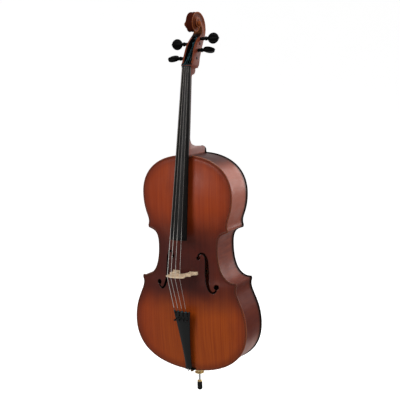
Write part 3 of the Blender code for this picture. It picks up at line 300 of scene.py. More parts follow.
def lathe(profile, sides=40):
    """A turned bmesh about local Z from (radius, z) points; ends on the axis close it."""
    bm = bmesh.new()
    ring_closed = min(radius for radius, z in profile) > 1e-7
    rows = []
    for radius, z in profile:
        if radius <= 1e-7:
            rows.append([bm.verts.new((0, 0, z))] * sides)
        else:
            turns = [math.tau * i / sides for i in range(sides)]
            rows.append([bm.verts.new((radius * math.cos(a), radius * math.sin(a), z)) for a in turns])
    pairs = list(zip(rows, rows[1:]))
    if ring_closed:
        pairs.append((rows[-1], rows[0]))
    for a, b in pairs:
        for i in range(sides):
            j = (i + 1) % sides
            corners = []
            for corner in (a[i], a[j], b[j], b[i]):
                if corner not in corners:
                    corners.append(corner)
            if len(corners) > 2:
                bm.faces.new(corners)
    return outward(bm)


def places(first, last, count):
    """Evenly spaced values, ends included."""
    return [first + (last - first) * i / (count - 1) for i in range(count)]


def spline(p, q, r, s, t):
    """A Catmull-Rom curve's value between q and r."""
    return 0.5 * (2 * q + (r - p) * t + (2 * p - 5 * q + 4 * r - s) * t * t + (3 * q - p - 3 * r + s) * t**3)


def smooth_path(points, per_stretch):
    """A smooth curve through points of any dimension."""
    ends = [points[0], *points, points[-1]]
    path = []
    for stretch in zip(ends, ends[1:], ends[2:], ends[3:]):
        for i in range(per_stretch):
            path.append(tuple(spline(*values, i / per_stretch) for values in zip(*stretch)))
    path.append(tuple(points[-1]))
    return path


def stand_for(piece, body, node):
    """Makes a piece ride on a body in place of a CAD node."""
    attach(piece, body)
    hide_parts(node)


def node_look(node, bm, slot, angle=0.7, body="body"):
    """A piece named for the CAD node that it stands for."""
    stand_for(mesh_piece(f"{node}_look", bm, SLOTS[slot], angle), body, node)


def anchored(axis_start, axis_end):
    """The transform that stands local Z along a line, from its start."""
    start, end = Vector(axis_start), Vector(axis_end)
    return Matrix.Translation(start) @ (end - start).to_track_quat("Z", "Y").to_matrix().to_4x4()


# ---------------------------------------------------------------- the body's outline and arching
def bezier(start, pull_start, pull_end, end, t):
    """A point of a cubic curve whose pulls are given from its ends."""
    s = 1 - t
    return tuple(
        s**3 * a + 3 * s * s * t * (a + p) + 3 * s * t * t * (b + q) + t**3 * b
        for a, p, q, b in zip(start, pull_start, pull_end, end)
    )


def body_point(place):
    """A point of the body's outline, on its treble side: the stretch's number and the share of it."""
    stretch = min(int(place), len(BODY_BEZIERS) - 1)
    x, z = bezier(*BODY_BEZIERS[stretch], place - stretch)
    return Vector((x, z + BODY_BOTTOM))


def inset_point(place, inset):
    """The same point moved inwards, square to the outline."""
    step = 1e-4
    stretch = min(int(place), len(BODY_BEZIERS) - 1)
    before = body_point(max(place - step, stretch))
    after = body_point(min(place + step, stretch + 1 - 1e-9))
    along = (after - before).normalized()
    return body_point(place) + Vector((-along.y, along.x)) * inset


def make_width_table():
    """Half width that the arch may fill, by height: the outline without its corners, smoothed."""
    heights = np.linspace(BODY_BOTTOM, BODY_TOP, 303)
    outline = np.array([body_point(min(p, 5.9999)) for p in np.linspace(0, 5.9999, 1201)])
    narrow = np.array([outline[np.abs(outline[:, 1] - h) <= 0.012, 0].min() for h in heights])
    reach = int(round(0.036 / (heights[1] - heights[0])))
    offsets = np.arange(-reach, reach + 1)
    kernel = np.exp(-((offsets * (heights[1] - heights[0]) / 0.012) ** 2))
    padded = np.pad(narrow, reach, mode="reflect", reflect_type="odd")
    smooth = np.convolve(padded, kernel / kernel.sum(), mode="valid")
    return heights, np.maximum(np.minimum(smooth, narrow + 0.004) - MARGIN, 0.001)


WIDTH_HEIGHTS, WIDTHS = make_width_table()


def arch(x, z):
    """How far a plate's face stands out from its edge, for arrays of places."""
    across = np.abs(x) / np.interp(z, WIDTH_HEIGHTS, WIDTHS)
    along = np.abs(z - BODY_BOTTOM - BODY_LENGTH / 2) / (BODY_LENGTH / 2 - MARGIN)
    across, along = np.clip(across, 0, 1), np.clip(along, 0, 1)
    return ARCH_HEIGHT * (1 + np.cos(np.pi * across**1.25)) * (1 + np.cos(np.pi * along**2.4)) / 4


def body_outline(button=False, counts=(60, 34, 44, 34, 36, 50)):
    """The plates' whole outline, dense enough to look round, with softly rounded corner tips."""
    half = []
    for stretch, count in enumerate(counts):
        half += [body_point(stretch + i / count) for i in range(count)]
        if stretch in (1, 3):
            half.append(body_point(stretch + 0.99999))
    if button:
        crown = BUTTON_TOP - BUTTON_HALF
        half = [p for p in half if p.x > BUTTON_HALF + 0.0015 or p.y < BODY_TOP - 0.1]
        half.append(Vector((BUTTON_HALF + 0.0010, BODY_TOP - 0.0001)))
        half.append(Vector((BUTTON_HALF + 0.0002, BODY_TOP + 0.0012)))
        half += [
            Vector((BUTTON_HALF * math.cos(a), crown + BUTTON_HALF * math.sin(a)))
            for a in places(0, math.pi / 2, 14)[:-1]
        ]
        top = Vector((0.0, BUTTON_TOP))
    else:
        top = Vector((0.0, BODY_TOP))
    return half + [top] + [Vector((-p.x, p.y)) for p in reversed(half[1:])]


def anticlockwise(loop):
    """The outline, turned round if it runs clockwise."""
    area = sum(a.x * b.y - b.x * a.y for a, b in zip(loop, loop[1:] + loop[:1]))
    return loop if area > 0 else loop[::-1]


def edge_distance(points, outline):
    """Distance of each point to a closed outline, by its segments."""
    points = np.asarray(points, float)
    a = np.asarray(outline, float)
    b = np.roll(a, -1, axis=0)
    best = np.full(len(points), 1e9)
    for start, end in zip(a, b):
        d = end - start
        t = np.clip(((points - start) @ d) / max(d @ d, 1e-18), 0, 1)
        gap = points - start - t[:, None] * d
        best = np.minimum(best, np.einsum("ij,ij->i", gap, gap))
    return np.sqrt(best)


def inside(points, outline):
    """Which points lie in a closed outline."""
    points = np.asarray(points, float)
    a = np.asarray(outline, float)
    b = np.roll(a, -1, axis=0)
    crossed = np.zeros(len(points), int)
    for (x0, y0), (x1, y1) in zip(a, b):
        if y0 == y1:
            continue
        spans = (y0 > points[:, 1]) != (y1 > points[:, 1])
        at = x0 + (points[:, 1] - y0) * (x1 - x0) / (y1 - y0)
        crossed += spans & (points[:, 0] < at)
    return crossed % 2 == 1


def inset_loop(outline, inset):
    """A closed outline moved inwards by its corner normals."""
    count = len(outline)
    moved = []
    for i, point in enumerate(outline):
        before = (point - outline[i - 1]).normalized()
        after = (outline[(i + 1) % count] - point).normalized()
        normal = Vector((-before.y - after.y, before.x + after.x)).normalized()
        moved.append(point + normal * inset / max(normal.dot(Vector((-after.y, after.x))), 0.45))
    return moved


def closest(points, loops):
    """Distance of each point to the nearest of several closed outlines."""
    return np.min([edge_distance(points, loop) for loop in loops], axis=0)


def rounding(gap, radius):
    """How far a rounded edge has fallen away at a distance from it, for a number or an array."""
    short = np.clip(radius - gap, 0, radius)
    return radius - np.sqrt(radius**2 - short**2)


def fill(loops, extra):
    """Triangles over the first outline, less the holes that follow it, through extra points."""
    points, edges = [], []
    for loop in loops:
        first, count = len(points), len(loop)
        points += [Vector(p) for p in loop]
        edges += [(first + i, first + (i + 1) % count) for i in range(count)]
    points += [Vector(p) for p in extra]
    flat, _, triangles, *_ = delaunay_2d_cdt(points, edges, [list(range(len(loops[0])))], 1, 1e-7)
    flat, triangles = np.array([tuple(p) for p in flat]), np.array(triangles)
    middles = flat[triangles].mean(axis=1)
    keep = inside(middles, loops[0])
    for hole in loops[1:]:
        keep &= ~inside(middles, hole)
    return flat, triangles[keep]


def skin(bm, triangles, front, back):
    """Faces both sides of a filled outline, and the walls round its borders."""
    borders = {}
    for triangle in triangles.tolist():
        bm.faces.new([front[i] for i in triangle])
        bm.faces.new([back[i] for i in reversed(triangle)])
        for a, b in zip(triangle, triangle[1:] + triangle[:1]):
            if borders.pop((b, a), None) is None:
                borders[(a, b)] = True
    for a, b in borders:
        bm.faces.new((front[b], front[a], back[a], back[b]))


EDGE_ROUND = 0.0021
UNDER_ROUND = 0.0012
HOLE_ROUND = 0.0007
HOLE_SHADE_REACH = 0.0012  # how far the painted shade reaches from a hole's edge
RIM_STEPS = (0.0005, 0.0012, 0.0021, 0.0033, 0.0042, 0.0047, 0.0053, 0.0062, 0.0078, 0.0096, 0.0118, 0.0145)
HOLE_STEPS = (-0.0012, -0.0030)
PLATE_SPACING = 0.0068


def plate_points(outline, holes):
    """Where a plate's mesh has points: rings along its rim and its holes, and a staggered grid."""
    extra = []
    for inset in RIM_STEPS:
        ring = np.array(inset_loop(outline, inset))
        extra.append(ring[(edge_distance(ring, outline) > inset - 0.00008) & inside(ring, outline)])
    rows = int(BODY_LENGTH / (PLATE_SPACING * 0.87))
    columns = np.arange(-34, 35)
    for row in range(1, rows + 4):
        x = (columns + 0.5 * (row % 2)) * PLATE_SPACING
        grid = np.column_stack([x, np.full(len(x), BODY_BOTTOM + BODY_LENGTH * row / rows)])
        clear = edge_distance(grid, outline) > RIM_STEPS[-1] + 0.003
        extra.append(grid[inside(grid, outline) & clear])
    extra = np.concatenate(extra)
    for hole in holes:
        for inset in HOLE_STEPS:
            extra = np.concatenate([extra[~inside(extra, hole)], np.array(inset_loop(hole, inset))])
        extra = extra[edge_distance(extra, hole) > 0.0009]
    return extra


def make_plate(name, side, material, holes=(), notches=(), button=False):
    """An arched plate with a rounded rim, a hollow beside it, and holes through it."""
    outline = body_outline(button)
    for low, high in notches:
        outline = notch_outline(outline, low, high)
    flat, triangles = fill([outline, *holes], plate_points(outline, holes))
    edge_gap = edge_distance(flat, outline)
    hole_gap = closest(flat, holes) if holes else np.full(len(flat), 1.0)
    bulge = arch(flat[:, 0], flat[:, 1])
    hollow = 0.0011 * np.exp(-(((edge_gap - 0.0095) / 0.0042) ** 2))
    face = bulge - rounding(edge_gap, EDGE_ROUND) - hollow - rounding(hole_gap, HOLE_ROUND)
    inner = bulge - PLATE + rounding(edge_gap, UNDER_ROUND)
    bm = bmesh.new()
    edge_layer = bm.verts.layers.float.new("edge")
    hole_shade_layer = bm.verts.layers.float.new("hole")
    front, back = {}, {}
    for i in sorted(set(triangles.ravel().tolist())):
        x, z = flat[i]
        front[i] = bm.verts.new((x, side * (PLATE_OUTSIDE + face[i]), z))
        back[i] = bm.verts.new((x, side * (PLATE_OUTSIDE + inner[i]), z))
        front[i][edge_layer] = edge_gap[i]
        # Painted shade: darker near a hole on the face, and full on the underside, so the holes' walls go
        # dark too.
        front[i][hole_shade_layer] = 1 - min(hole_gap[i] / HOLE_SHADE_REACH, 1)
        back[i][hole_shade_layer] = 1.0
        back[i][edge_layer] = 1.0 if side < 0 else edge_gap[i]
    skin(bm, triangles, front, back)
    return mesh_piece(name, outward(bm), material, 0.9)


def notch_outline(outline, low, high):
    """Cuts a rectangular notch, from low to high, into the top or the bottom of an outline."""
    (x0, z0), (x1, z1) = low, high
    cut = [p for p in outline if not (x0 < p.x < x1 and z0 < p.y < z1)]
    count = len(cut)
    jump = max(range(count), key=lambda i: (cut[(i + 1) % count] - cut[i]).length)
    a, b = cut[jump], cut[(jump + 1) % count]
    floor = z1 if z0 < BODY_BOTTOM else z0
    steps = [Vector((a.x + (b.x - a.x) * t, floor)) for t in places(0, 1, 9)]
    return cut[: jump + 1] + steps + cut[jump + 1 :]


def f_hole(side):
    """A treble or bass f-hole's outline: a swelling stroke with a round eye at each end and two nicks."""
    path = [Vector(p) for p in smooth_path(F_PATH, 10)]
    lengths = np.cumsum([0.0] + [(b - a).length for a, b in zip(path, path[1:])])
    whole = lengths[-1]
    near, far = [], []
    for i, point in enumerate(path):
        along = (path[min(i + 1, len(path) - 1)] - path[max(i - 1, 0)]).normalized()
        across = Vector((-along.y, along.x))
        from_start, from_end = lengths[i], whole - lengths[i]
        if from_start < F_EYES[0] * 0.93 or from_end < F_EYES[1] * 0.95:
            continue
        swell = 0.0021 + 0.0039 * math.sin(math.pi * min(max(lengths[i] / whole, 0), 1)) ** 1.6
        nick = 0.0014 * math.exp(-(((point.y - 0.448) / 0.0016) ** 2))
        near.append(point + across * (swell + nick))
        far.append(point - across * (swell + nick))
    loop = far + eye_arc(F_PATH[-1], F_EYES[1], far[-1], near[-1]) + near[::-1]
    loop += eye_arc(F_PATH[0], F_EYES[0], near[0], far[0])
    return [Vector((side * p.x, p.y)) for p in (loop if side > 0 else loop[::-1])]


def eye_arc(centre, radius, start, end, steps=22):
    """The long way round an eye, from one side of the stroke to the other."""
    centre = Vector(centre)
    a = math.atan2(*(start - centre).yx)
    b = math.atan2(*(end - centre).yx)
    while b <= a:
        b += math.tau
    if b - a < math.pi:
        b -= math.tau
    return [centre + radius * Vector((math.cos(t), math.sin(t))) for t in places(a, b, steps)]


# ---------------------------------------------------------------- the fingerboard's lines
NUT_Z = 1.137
NUT_LENGTH = 0.007
BOARD_END_Z = 0.568
BOARD_NUT_Y = -0.044
BOARD_END_Y = -0.137
BOARD_RADIUS = 0.060
BOARD_EDGE = 0.007
BOARD_HALVES = (0.016, 0.031)
NECK_THICKNESS = (0.029, 0.033)
HEEL_HALF = 0.022


def board_share(z):
    return (NUT_Z - z) / (NUT_Z - BOARD_END_Z)


def board_surface(z):
    return BOARD_NUT_Y + (BOARD_END_Y - BOARD_NUT_Y) * board_share(z)


def board_half(z):
    return BOARD_HALVES[0] + (BOARD_HALVES[1] - BOARD_HALVES[0]) * board_share(z)


def crown(x, radius=BOARD_RADIUS):
    return radius - math.sqrt(radius * radius - x * x)


def board_underside(z):
    ends = [board_surface(end) + crown(board_half(end)) + BOARD_EDGE for end in (NUT_Z, BOARD_END_Z)]
    return ends[0] + (ends[1] - ends[0]) * board_share(z)


# ---------------------------------------------------------------- materials
def body_varnish(name, flame):
    """Worn amber-brown varnish over spruce (grain along Z) or over flamed maple."""
    gloss, coat = (0.13, 0.02) if flame else (0.24, 0.08)
    shader = Shader(
        name, (0.25, 0.06, 0.02), 0.34, Specular_IOR_Level=gloss, Coat_Weight=coat, Coat_Roughness=0.14
    )
    if flame:
        curl = shader.noise(70.0, 2.0, (0.16, 0.16, 1.0), 0.5)
        curl_fine = shader.noise(190.0, 2.0, (0.14, 0.14, 1.0), 0.4)
        figure = shader.math("ADD", shader.times(curl, 0.7), shader.times(curl_fine, 0.3))
        base = shader.grain(figure, (0.160, 0.0250, 0.0095), (0.250, 0.0440, 0.0140), 0.30, 0.72)
    else:
        lines = shader.noise(1.0, 3.0, (720, 60, 1.6))
        wide = shader.noise(1.0, 2.0, (60, 20, 0.8))
        figure = shader.math("ADD", shader.times(lines, 0.74), shader.times(wide, 0.26))
        base = shader.grain(figure, (0.300, 0.042, 0.0030), (0.43, 0.078, 0.0060))
    return shader, base, figure


def spruce_varnish():
    shader, base, grain = body_varnish("spruce_varnish", False)
    x, _, z = shader.axes()
    # Redder over the upper bout and towards both flanks than over the lower bout's middle; the flanks are
    # measured from a middle moved to the treble side, so the treble flank keeps painted light.
    upper = shader.grain(grain, (0.270, 0.030, 0.0045), (0.400, 0.058, 0.0085))
    base = shader.mix(shader.span(z, 0.30, 0.45), base, upper)
    off_lit_middle = shader.math("ABSOLUTE", shader.math("SUBTRACT", x, 0.035))
    red = shader.grain(grain, (0.230, 0.026, 0.005), (0.350, 0.044, 0.008))
    base = shader.mix(shader.span(off_lit_middle, 0.09, 0.22, 0.0, 0.65), base, red)
    # A dark cloud crosses the whole waist and fades out into either bout; towards the treble edge it is
    # thinner, as a painted sheen.
    patches = shader.times(shader.math("SUBTRACT", shader.noise(7.0, 3.0), 0.5), 0.07)
    cloud = shader.rise_and_fall(shader.math("ADD", z, patches), (0.288, 0.396), (0.525, 0.680))
    dark = shader.grain(grain, (0.036, 0.0050, 0.0038), (0.058, 0.0085, 0.0065))
    base = shader.mix(shader.times(cloud, shader.span(x, 0.070, 0.115, 0.96, 0.74)), base, dark)
    mottle = shader.noise(11.0, 4.0, (1, 1, 0.6), 0.4)
    base = shader.mix(shader.span(mottle, 0.45, 0.75, 0.0, 0.30), base, (0.16, 0.018, 0.004))
    edge = shader.attribute("edge")
    base = shader.mix(shader.span(edge, 0.002, 0.036, 0.50, 0.0), base, (0.080, 0.009, 0.004))
    base = purfling_and_edge(shader, base, edge)
    # Painted shade: near-black just round the f-holes, on their walls and over the whole underside.
    base = shader.mix(shader.span(shader.attribute("hole"), 0.15, 0.8), base, (0.008, 0.004, 0.003))
    wear = shader.noise(26.0, 4.0)
    relief = shader.math("ADD", grain, shader.times(wear, 0.4))
    return shader.finish(base, wear, (0.3, 0.75, 0.30, 0.46), relief, 0.10, 0.0006)


def purfling_and_edge(shader, varnish, edge):
    """Three inlaid lines beside the edge, and wood showing where the rim has worn."""
    outer = shader.math("COMPARE", edge, 0.00445, 0.00033)
    inner = shader.math("COMPARE", edge, 0.00535, 0.00033)
    light = shader.math("COMPARE", edge, 0.0049, 0.00024)
    varnish = shader.mix(light, varnish, (0.30, 0.13, 0.045))
    varnish = shader.mix(shader.math("MAXIMUM", outer, inner), varnish, (0.012, 0.007, 0.005))
    at_rim = shader.span(edge, 0.0003, 0.0019, 1.0, 0.0)
    worn = shader.times(at_rim, shader.span(shader.noise(14.0, 3.0), 0.30, 0.62))
    return shader.mix(shader.times(worn, 0.8), varnish, (0.27, 0.105, 0.036))


def maple_varnish():
    """The ribs', the neck's and the head's varnish, changing with height, with painted highlights, a painted
    reflection and painted shade.
    """
    shader, base, figure = body_varnish("maple_varnish", True)
    _, y, z = shader.axes()
    tone = shader.noise(5.0, 3.0)
    base = shader.mix(shader.span(tone, 0.3, 0.7, 0.0, 0.35), base, (0.075, 0.012, 0.006))
    pores = shader.noise(1.0, 2.0, (900, 900, 40))
    base = shader.mix(shader.span(pores, 0.60, 0.72, 0.0, 0.4), base, (0.03, 0.010, 0.006))
    # A painted highlight up to the shoulders and a painted reflection of the floor at the foot; painted
    # shade beside the neck's root; darker below the waist.
    # Painted shade on the ribs where they meet the neck's root.
    neck_root_shade = shader.rise_and_fall(z, (0.785, 0.835), (0.844, 0.850))
    base = shader.mix(shader.times(neck_root_shade, 0.90), base, (0.038, 0.008, 0.006))
    # Painted highlight on the upper ribs, with more gloss there.
    shoulder_highlight = shader.rise_and_fall(z, (0.54, 0.70), (0.780, 0.830))
    base = shader.mix(shader.times(shoulder_highlight, 0.62), base, (0.40, 0.085, 0.034))
    patch = shader.rise_and_fall(z, (0.18, 0.27), (0.41, 0.425))
    base = shader.mix(shader.times(patch, 0.70), base, (0.062, 0.0080, 0.0045))
    base = shader.mix(shader.span(z, 0.86, 0.90, 0.0, 0.5), base, (0.130, 0.021, 0.007))
    # Painted reflection of the floor low on the ribs, with more gloss there.
    foot_reflection = shader.span(z, 0.165, 0.235, 1.0, 0.0)
    base = shader.mix(shader.times(foot_reflection, 0.70), base, (0.42, 0.175, 0.120))
    # Darker beside the back plate: partly the varnish's own colour at the joint, partly painted shade.
    beside_back = shader.times(shader.span(y, 0.041, 0.056), shader.span(z, 0.855, 0.860, 0.92, 0.0))
    base = shader.mix(beside_back, base, (0.018, 0.006, 0.004))
    # Darker on the scroll's outside, painted shade in its grooves and its throat, and rubbed light along its
    # corners.
    shade = shader.attribute("shade")
    unshaded = shader.math("SUBTRACT", 1.0, shade)
    base = shader.mix(shader.times(shade, 0.85), base, (0.030, 0.0055, 0.0035))
    base = shader.mix(shader.times(shader.attribute("wear"), 0.60), base, (0.34, 0.125, 0.050))
    # Painted shade on the neck beside the fingerboard's underside, and amber in the volute's channels.
    slope = (board_underside(1.0) - board_underside(0.9)) / 0.1
    glue_line = shader.math("MULTIPLY_ADD", z, slope, board_underside(0.0))
    off_board = shader.math("SUBTRACT", y, glue_line)
    board_edge_shade = shader.times(shader.span(off_board, 0.006, 0.016, 0.85, 0.0), shader.span(z, 0.885, 0.905))
    board_edge_shade = shader.times(board_edge_shade, shader.span(z, 1.095, 1.112, 1.0, 0.0))
    base = shader.mix(board_edge_shade, base, (0.020, 0.009, 0.007))
    volute = shader.times(shader.span(z, 1.238, 1.256), unshaded)
    base = shader.mix(shader.times(volute, 0.70), base, (0.25, 0.066, 0.016))
    # Black in the pegbox's hollow, where it is stained, and painted shade on the throat's front faces.
    base = shader.mix(shader.attribute("inside"), base, (0.006, 0.004, 0.004))
    heel = shader.rise_and_fall(z, (0.848, 0.852), (0.89, 1.00))
    gloss = shader.math("MULTIPLY_ADD", shoulder_highlight, 0.22, 0.13)
    gloss = shader.math("MULTIPLY_ADD", heel, 0.26, gloss)
    gloss = shader.times(gloss, unshaded)
    gloss = shader.times(gloss, shader.math("MULTIPLY_ADD", volute, -0.85, 1.0))
    gloss = shader.times(gloss, shader.math("MULTIPLY_ADD", patch, -0.75, 1.0))
    shader.feed(shader.math("MULTIPLY_ADD", foot_reflection, 0.45, gloss), "Specular IOR Level")
    relief = shader.math("ADD", figure, shader.times(pores, 0.4))
    return shader.finish(base, shader.noise(22.0, 4.0), (0.3, 0.7, 0.34, 0.48), relief, 0.09, 0.0006)


def back_varnish():
    shader, base, figure = body_varnish("back_varnish", True)
    edge = shader.attribute("edge")
    base = shader.mix(shader.span(edge, 0.004, 0.045, 0.6, 0.0), base, (0.050, 0.013, 0.006))
    base = purfling_and_edge(shader, base, edge)
    base = shader.mix(shader.span(edge, 0.0030, 0.0060, 1.0, 0.0), base, (0.006, 0.003, 0.0025))
    return shader.finish(base, shader.noise(22.0, 4.0), (0.3, 0.7, 0.25, 0.40), figure, 0.08, 0.0006)


def ebony(name, tone, rough, gloss):
    """Close-grained black wood, polished along the middle and duller towards its edges."""
    shader = Shader(name, (tone, tone, tone), 0.36, Specular_IOR_Level=gloss)
    grain = shader.noise(1.0, 4.0, (520, 520, 9))
    dark = (tone, tone * 0.95, tone * 0.92)
    light = (tone * 2.4, tone * 2.1, tone * 1.9)
    across = shader.math("ABSOLUTE", shader.math("ADD", shader.axes()[0], 0.006))
    shader.feed(shader.span(across, 0.012, 0.030, gloss, gloss * 0.30), "Specular IOR Level")
    colour = shader.grain(grain, dark, light, 0.42, 0.66)
    return shader.finish(colour, shader.noise(30.0, 4.0), (0.3, 0.7, *rough), grain, 0.07, 0.0004)


def composite():
    shader = Shader("black_composite", (0.010, 0.010, 0.011), 0.32, Specular_IOR_Level=0.34)
    speck = shader.noise(420.0, 3.0)
    colour = shader.mix(speck, (0.004, 0.005, 0.005), (0.010, 0.011, 0.011))
    return shader.finish(colour, shader.noise(35.0, 4.0), (0.3, 0.7, 0.24, 0.42), speck, 0.05, 0.0003)


def black_metal():
    shader = Shader("black_metal", (0.02, 0.02, 0.022), 0.28, 0.8)
    turned = shader.noise(1.0, 3.0, (900, 900, 900))
    colour = shader.mix(turned, (0.012, 0.012, 0.013), (0.035, 0.035, 0.037))
    return shader.finish(colour, shader.noise(60.0, 4.0), (0.3, 0.7, 0.20, 0.38), turned, 0.05, 0.0002)


def bridge_maple():
    shader = Shader("bridge_maple", (0.70, 0.52, 0.31), 0.52)
    flecks = shader.noise(1.0, 3.0, (90, 700, 420), 0.2)
    lines = shader.noise(1.0, 3.0, (24, 400, 260))
    tone = shader.grain(lines, (0.76, 0.54, 0.34), (0.95, 0.76, 0.53), 0.35, 0.65)
    colour = shader.mix(shader.span(flecks, 0.60, 0.70, 0.0, 0.5), tone, (0.50, 0.30, 0.15))
    return shader.finish(colour, shader.noise(40.0, 3.0), (0.3, 0.7, 0.42, 0.6), flecks, 0.10, 0.0004)


def bare_wood():
    shader = Shader("bare_wood", (0.62, 0.42, 0.22), 0.7)
    grain = shader.noise(1.0, 3.0, (500, 500, 10))
    colour = shader.grain(grain, (0.50, 0.31, 0.14), (0.68, 0.49, 0.27))
    return shader.finish(colour, shader.noise(50.0, 3.0), (0.3, 0.7, 0.6, 0.8), grain, 0.2, 0.0005)


def plated(name, dark, light, rough):
    shader = Shader(name, light, rough[0], 1.0)
    smear = shader.noise(70.0, 4.0)
    colour = shader.grain(smear, dark, light)
    return shader.finish(colour, shader.noise(160.0, 3.0), (0.3, 0.7, *rough), smear, 0.03, 0.0002)


def wound_string():
    """Flat metal ribbon wound round the string, with dark silk over its two ends."""
    shader = Shader("string_steel", (0.52, 0.52, 0.53), 0.30, 1.0)
    z = shader.axes()[2]
    bands = {"wave_type": "BANDS", "bands_direction": "Z"}
    turns = shader.node("TexWave", bands, Vector=shader.coords(), Scale=420.0, Distortion=0.6)
    winding = turns.outputs["Fac"]
    metal = shader.mix(winding, (0.62, 0.58, 0.54), (0.95, 0.91, 0.87))
    below = shader.span(z, 0.3320, 0.3330, 1.0, 0.0)
    silk = shader.math("MAXIMUM", below, shader.span(z, 1.1400, 1.1410))
    # Tarnished by the fingers over the board, and bright where the bow plays.
    metal = shader.mix(shader.span(z, 0.560, 0.640, 0.0, 0.80), metal, (0.095, 0.080, 0.070))
    thread = shader.noise(1.0, 2.0, (300, 300, 1500))
    wrap = shader.mix(thread, (0.004, 0.030, 0.040), (0.015, 0.095, 0.120))
    shader.feed(shader.math("MULTIPLY_ADD", silk, -0.55, 0.55), "Metallic")
    colour = shader.mix(silk, metal, wrap)
    return shader.finish(colour, silk, (0.0, 1.0, 0.42, 0.67, False), winding, 0.15, 0.0002)


def rubber():
    shader = Shader("rubber", (0.006, 0.006, 0.006), 0.8, Specular_IOR_Level=0.3)
    dust = shader.noise(160.0, 4.0)
    colour = shader.grain(dust, (0.004, 0.004, 0.004), (0.014, 0.013, 0.012), 0.45, 0.75)
    return shader.finish(colour, dust, (0.3, 0.7, 0.65, 0.9), dust, 0.2, 0.0003)


def cord_fibre():
    shader = Shader("tail_cord", (0.015, 0.015, 0.016), 0.55)
    braid = shader.noise(1.0, 3.0, (1600, 1600, 900))
    colour = shader.mix(braid, (0.008, 0.008, 0.009), (0.030, 0.030, 0.032))
    return shader.finish(colour, braid, (0.3, 0.7, 0.45, 0.65), braid, 0.4, 0.0004)


SLOTS = {
    "spruce_varnish": spruce_varnish(),
    "maple_varnish": maple_varnish(),
    "back_varnish": back_varnish(),
    "bare_wood": bare_wood(),
    "bridge_maple": bridge_maple(),
    "ebony": ebony("ebony", 0.0048, (0.32, 0.46), 0.18),
    "black_composite": composite(),
    "black_metal": black_metal(),
    "string_steel": wound_string(),
    "tail_cord": cord_fibre(),
    "gold_plate": plated("gold_plate", (0.86, 0.60, 0.24), (1.0, 0.80, 0.42), (0.24, 0.38)),
    "steel_rod": plated("steel_rod", (0.70, 0.69, 0.69), (0.88, 0.87, 0.87), (0.22, 0.36)),
    "rubber": rubber(),
}
PEG_BLACK = ebony("peg_ebony", 0.0014, (0.30, 0.42), 0.11)


# name, radius, x at the nut, at the bridge and at the tailpiece, and its peg
STRINGS = (
    ("string_c", 0.0009, -0.0110, -0.0235, -0.0225, "peg_c"),
    ("string_g", 0.0007, -0.0037, -0.0080, -0.0075, "peg_g"),
    ("string_d", 0.00055, 0.0037, 0.0080, 0.0075, "peg_d"),
    ("string_a", 0.0004, 0.0110, 0.0235, 0.0225, "peg_a"),
)


# ---------------------------------------------------------------- ribs
RIB_THICKNESS = 0.0015
RIB_STRETCHES = {"lower": (0.0, 1.97, 110), "centre": (2.03, 3.97, 84), "upper": (4.03, 5.999, 96)}


def corner_wrap(start, end):
    """The short way across a corner's tip, stopping just short of the next rib."""
    pair = []
    for inset in (OVERHANG, OVERHANG + RIB_THICKNESS):
        a, b = inset_point(start, inset), inset_point(end, inset)
        pair.append([a.lerp(b, t) for t in (0.12, 0.4, 0.7, 0.93)])
    return list(zip(*pair))


def make_rib(bout, side, word):
    """A bent strip; the bouts' ribs also close the corners' tips."""
    first, last, count = RIB_STRETCHES[bout]
    stations = [
        (inset_point(place, OVERHANG), inset_point(place, OVERHANG + RIB_THICKNESS))
        for place in places(first, last, count)
    ]
    if bout == "lower":
        stations += corner_wrap(last, RIB_STRETCHES["centre"][0])
    if bout == "upper":
        stations = corner_wrap(first, RIB_STRETCHES["centre"][1])[::-1] + stations
    rings = []
    for outer, inner in stations:
        ring = [(side * max(outer.x, 0.0001), y, outer.y) for y in places(-HALF_DEPTH, HALF_DEPTH, 9)]
        ring += [(side * max(inner.x, 0.0001), y, inner.y) for y in places(HALF_DEPTH, -HALF_DEPTH, 3)]
        rings.append(ring)
    node_look(f"{bout}_rib_{word}", loft(rings), "maple_varnish", 0.6)


# ---------------------------------------------------------------- fingerboard, nut and neck
NECK_ROOT_Z = BODY_TOP - OVERHANG - RIB_THICKNESS


def make_board():
    """Crowned, with eased edges, and hollowed underneath where it stands free of the neck."""
    rings = []
    end_ease = [(0.0, 0.0012), (0.0004, 0.0004), (0.0012, 0.0)]
    heights = [(BOARD_END_Z + up, ease) for up, ease in end_ease]
    heights += [(z, 0.0) for z in places(BOARD_END_Z + 0.01, NUT_Z - 0.0003, 60)]
    for z, ease in heights:
        half = board_half(z)
        under = board_underside(z) - 0.0003
        free = min(max((NECK_ROOT_Z - 0.004 - z) / 0.03, 0), 1)
        scoop = 0.0065 * free * free * (3 - 2 * free)
        ring = []
        for i in range(33):
            t = -1 + 2 * i / 32
            x = half * math.copysign(1 - (1 - abs(t)) ** 1.35, t)
            roll = rounding(half - abs(x), 0.0011)
            ring.append((x * (1 - ease * 6), board_surface(z) + crown(x) + roll + ease, z))
        ring += [(half, (board_surface(z) + crown(half) + under) / 2, z)]
        for i in range(17):
            t = 1 - 2 * i / 16
            hollow = scoop * math.cos(math.pi * t / 2) ** 0.8 if abs(t) < 1 else 0
            ring.append((half * t, under - hollow, z))
        ring += [(-half, (board_surface(z) + crown(half) + under) / 2, z)]
        rings.append(ring)
    node_look("fingerboard", loft(rings), "ebony", 0.6)


def nut_seat(z):
    """Where the nut's underside lies on the neck."""
    low = board_underside(1.1365)
    return low + (PEGBOX[0][1] - low) * (z - 1.1365) / (PEGBOX[0][0] - 1.1365) - 0.0003


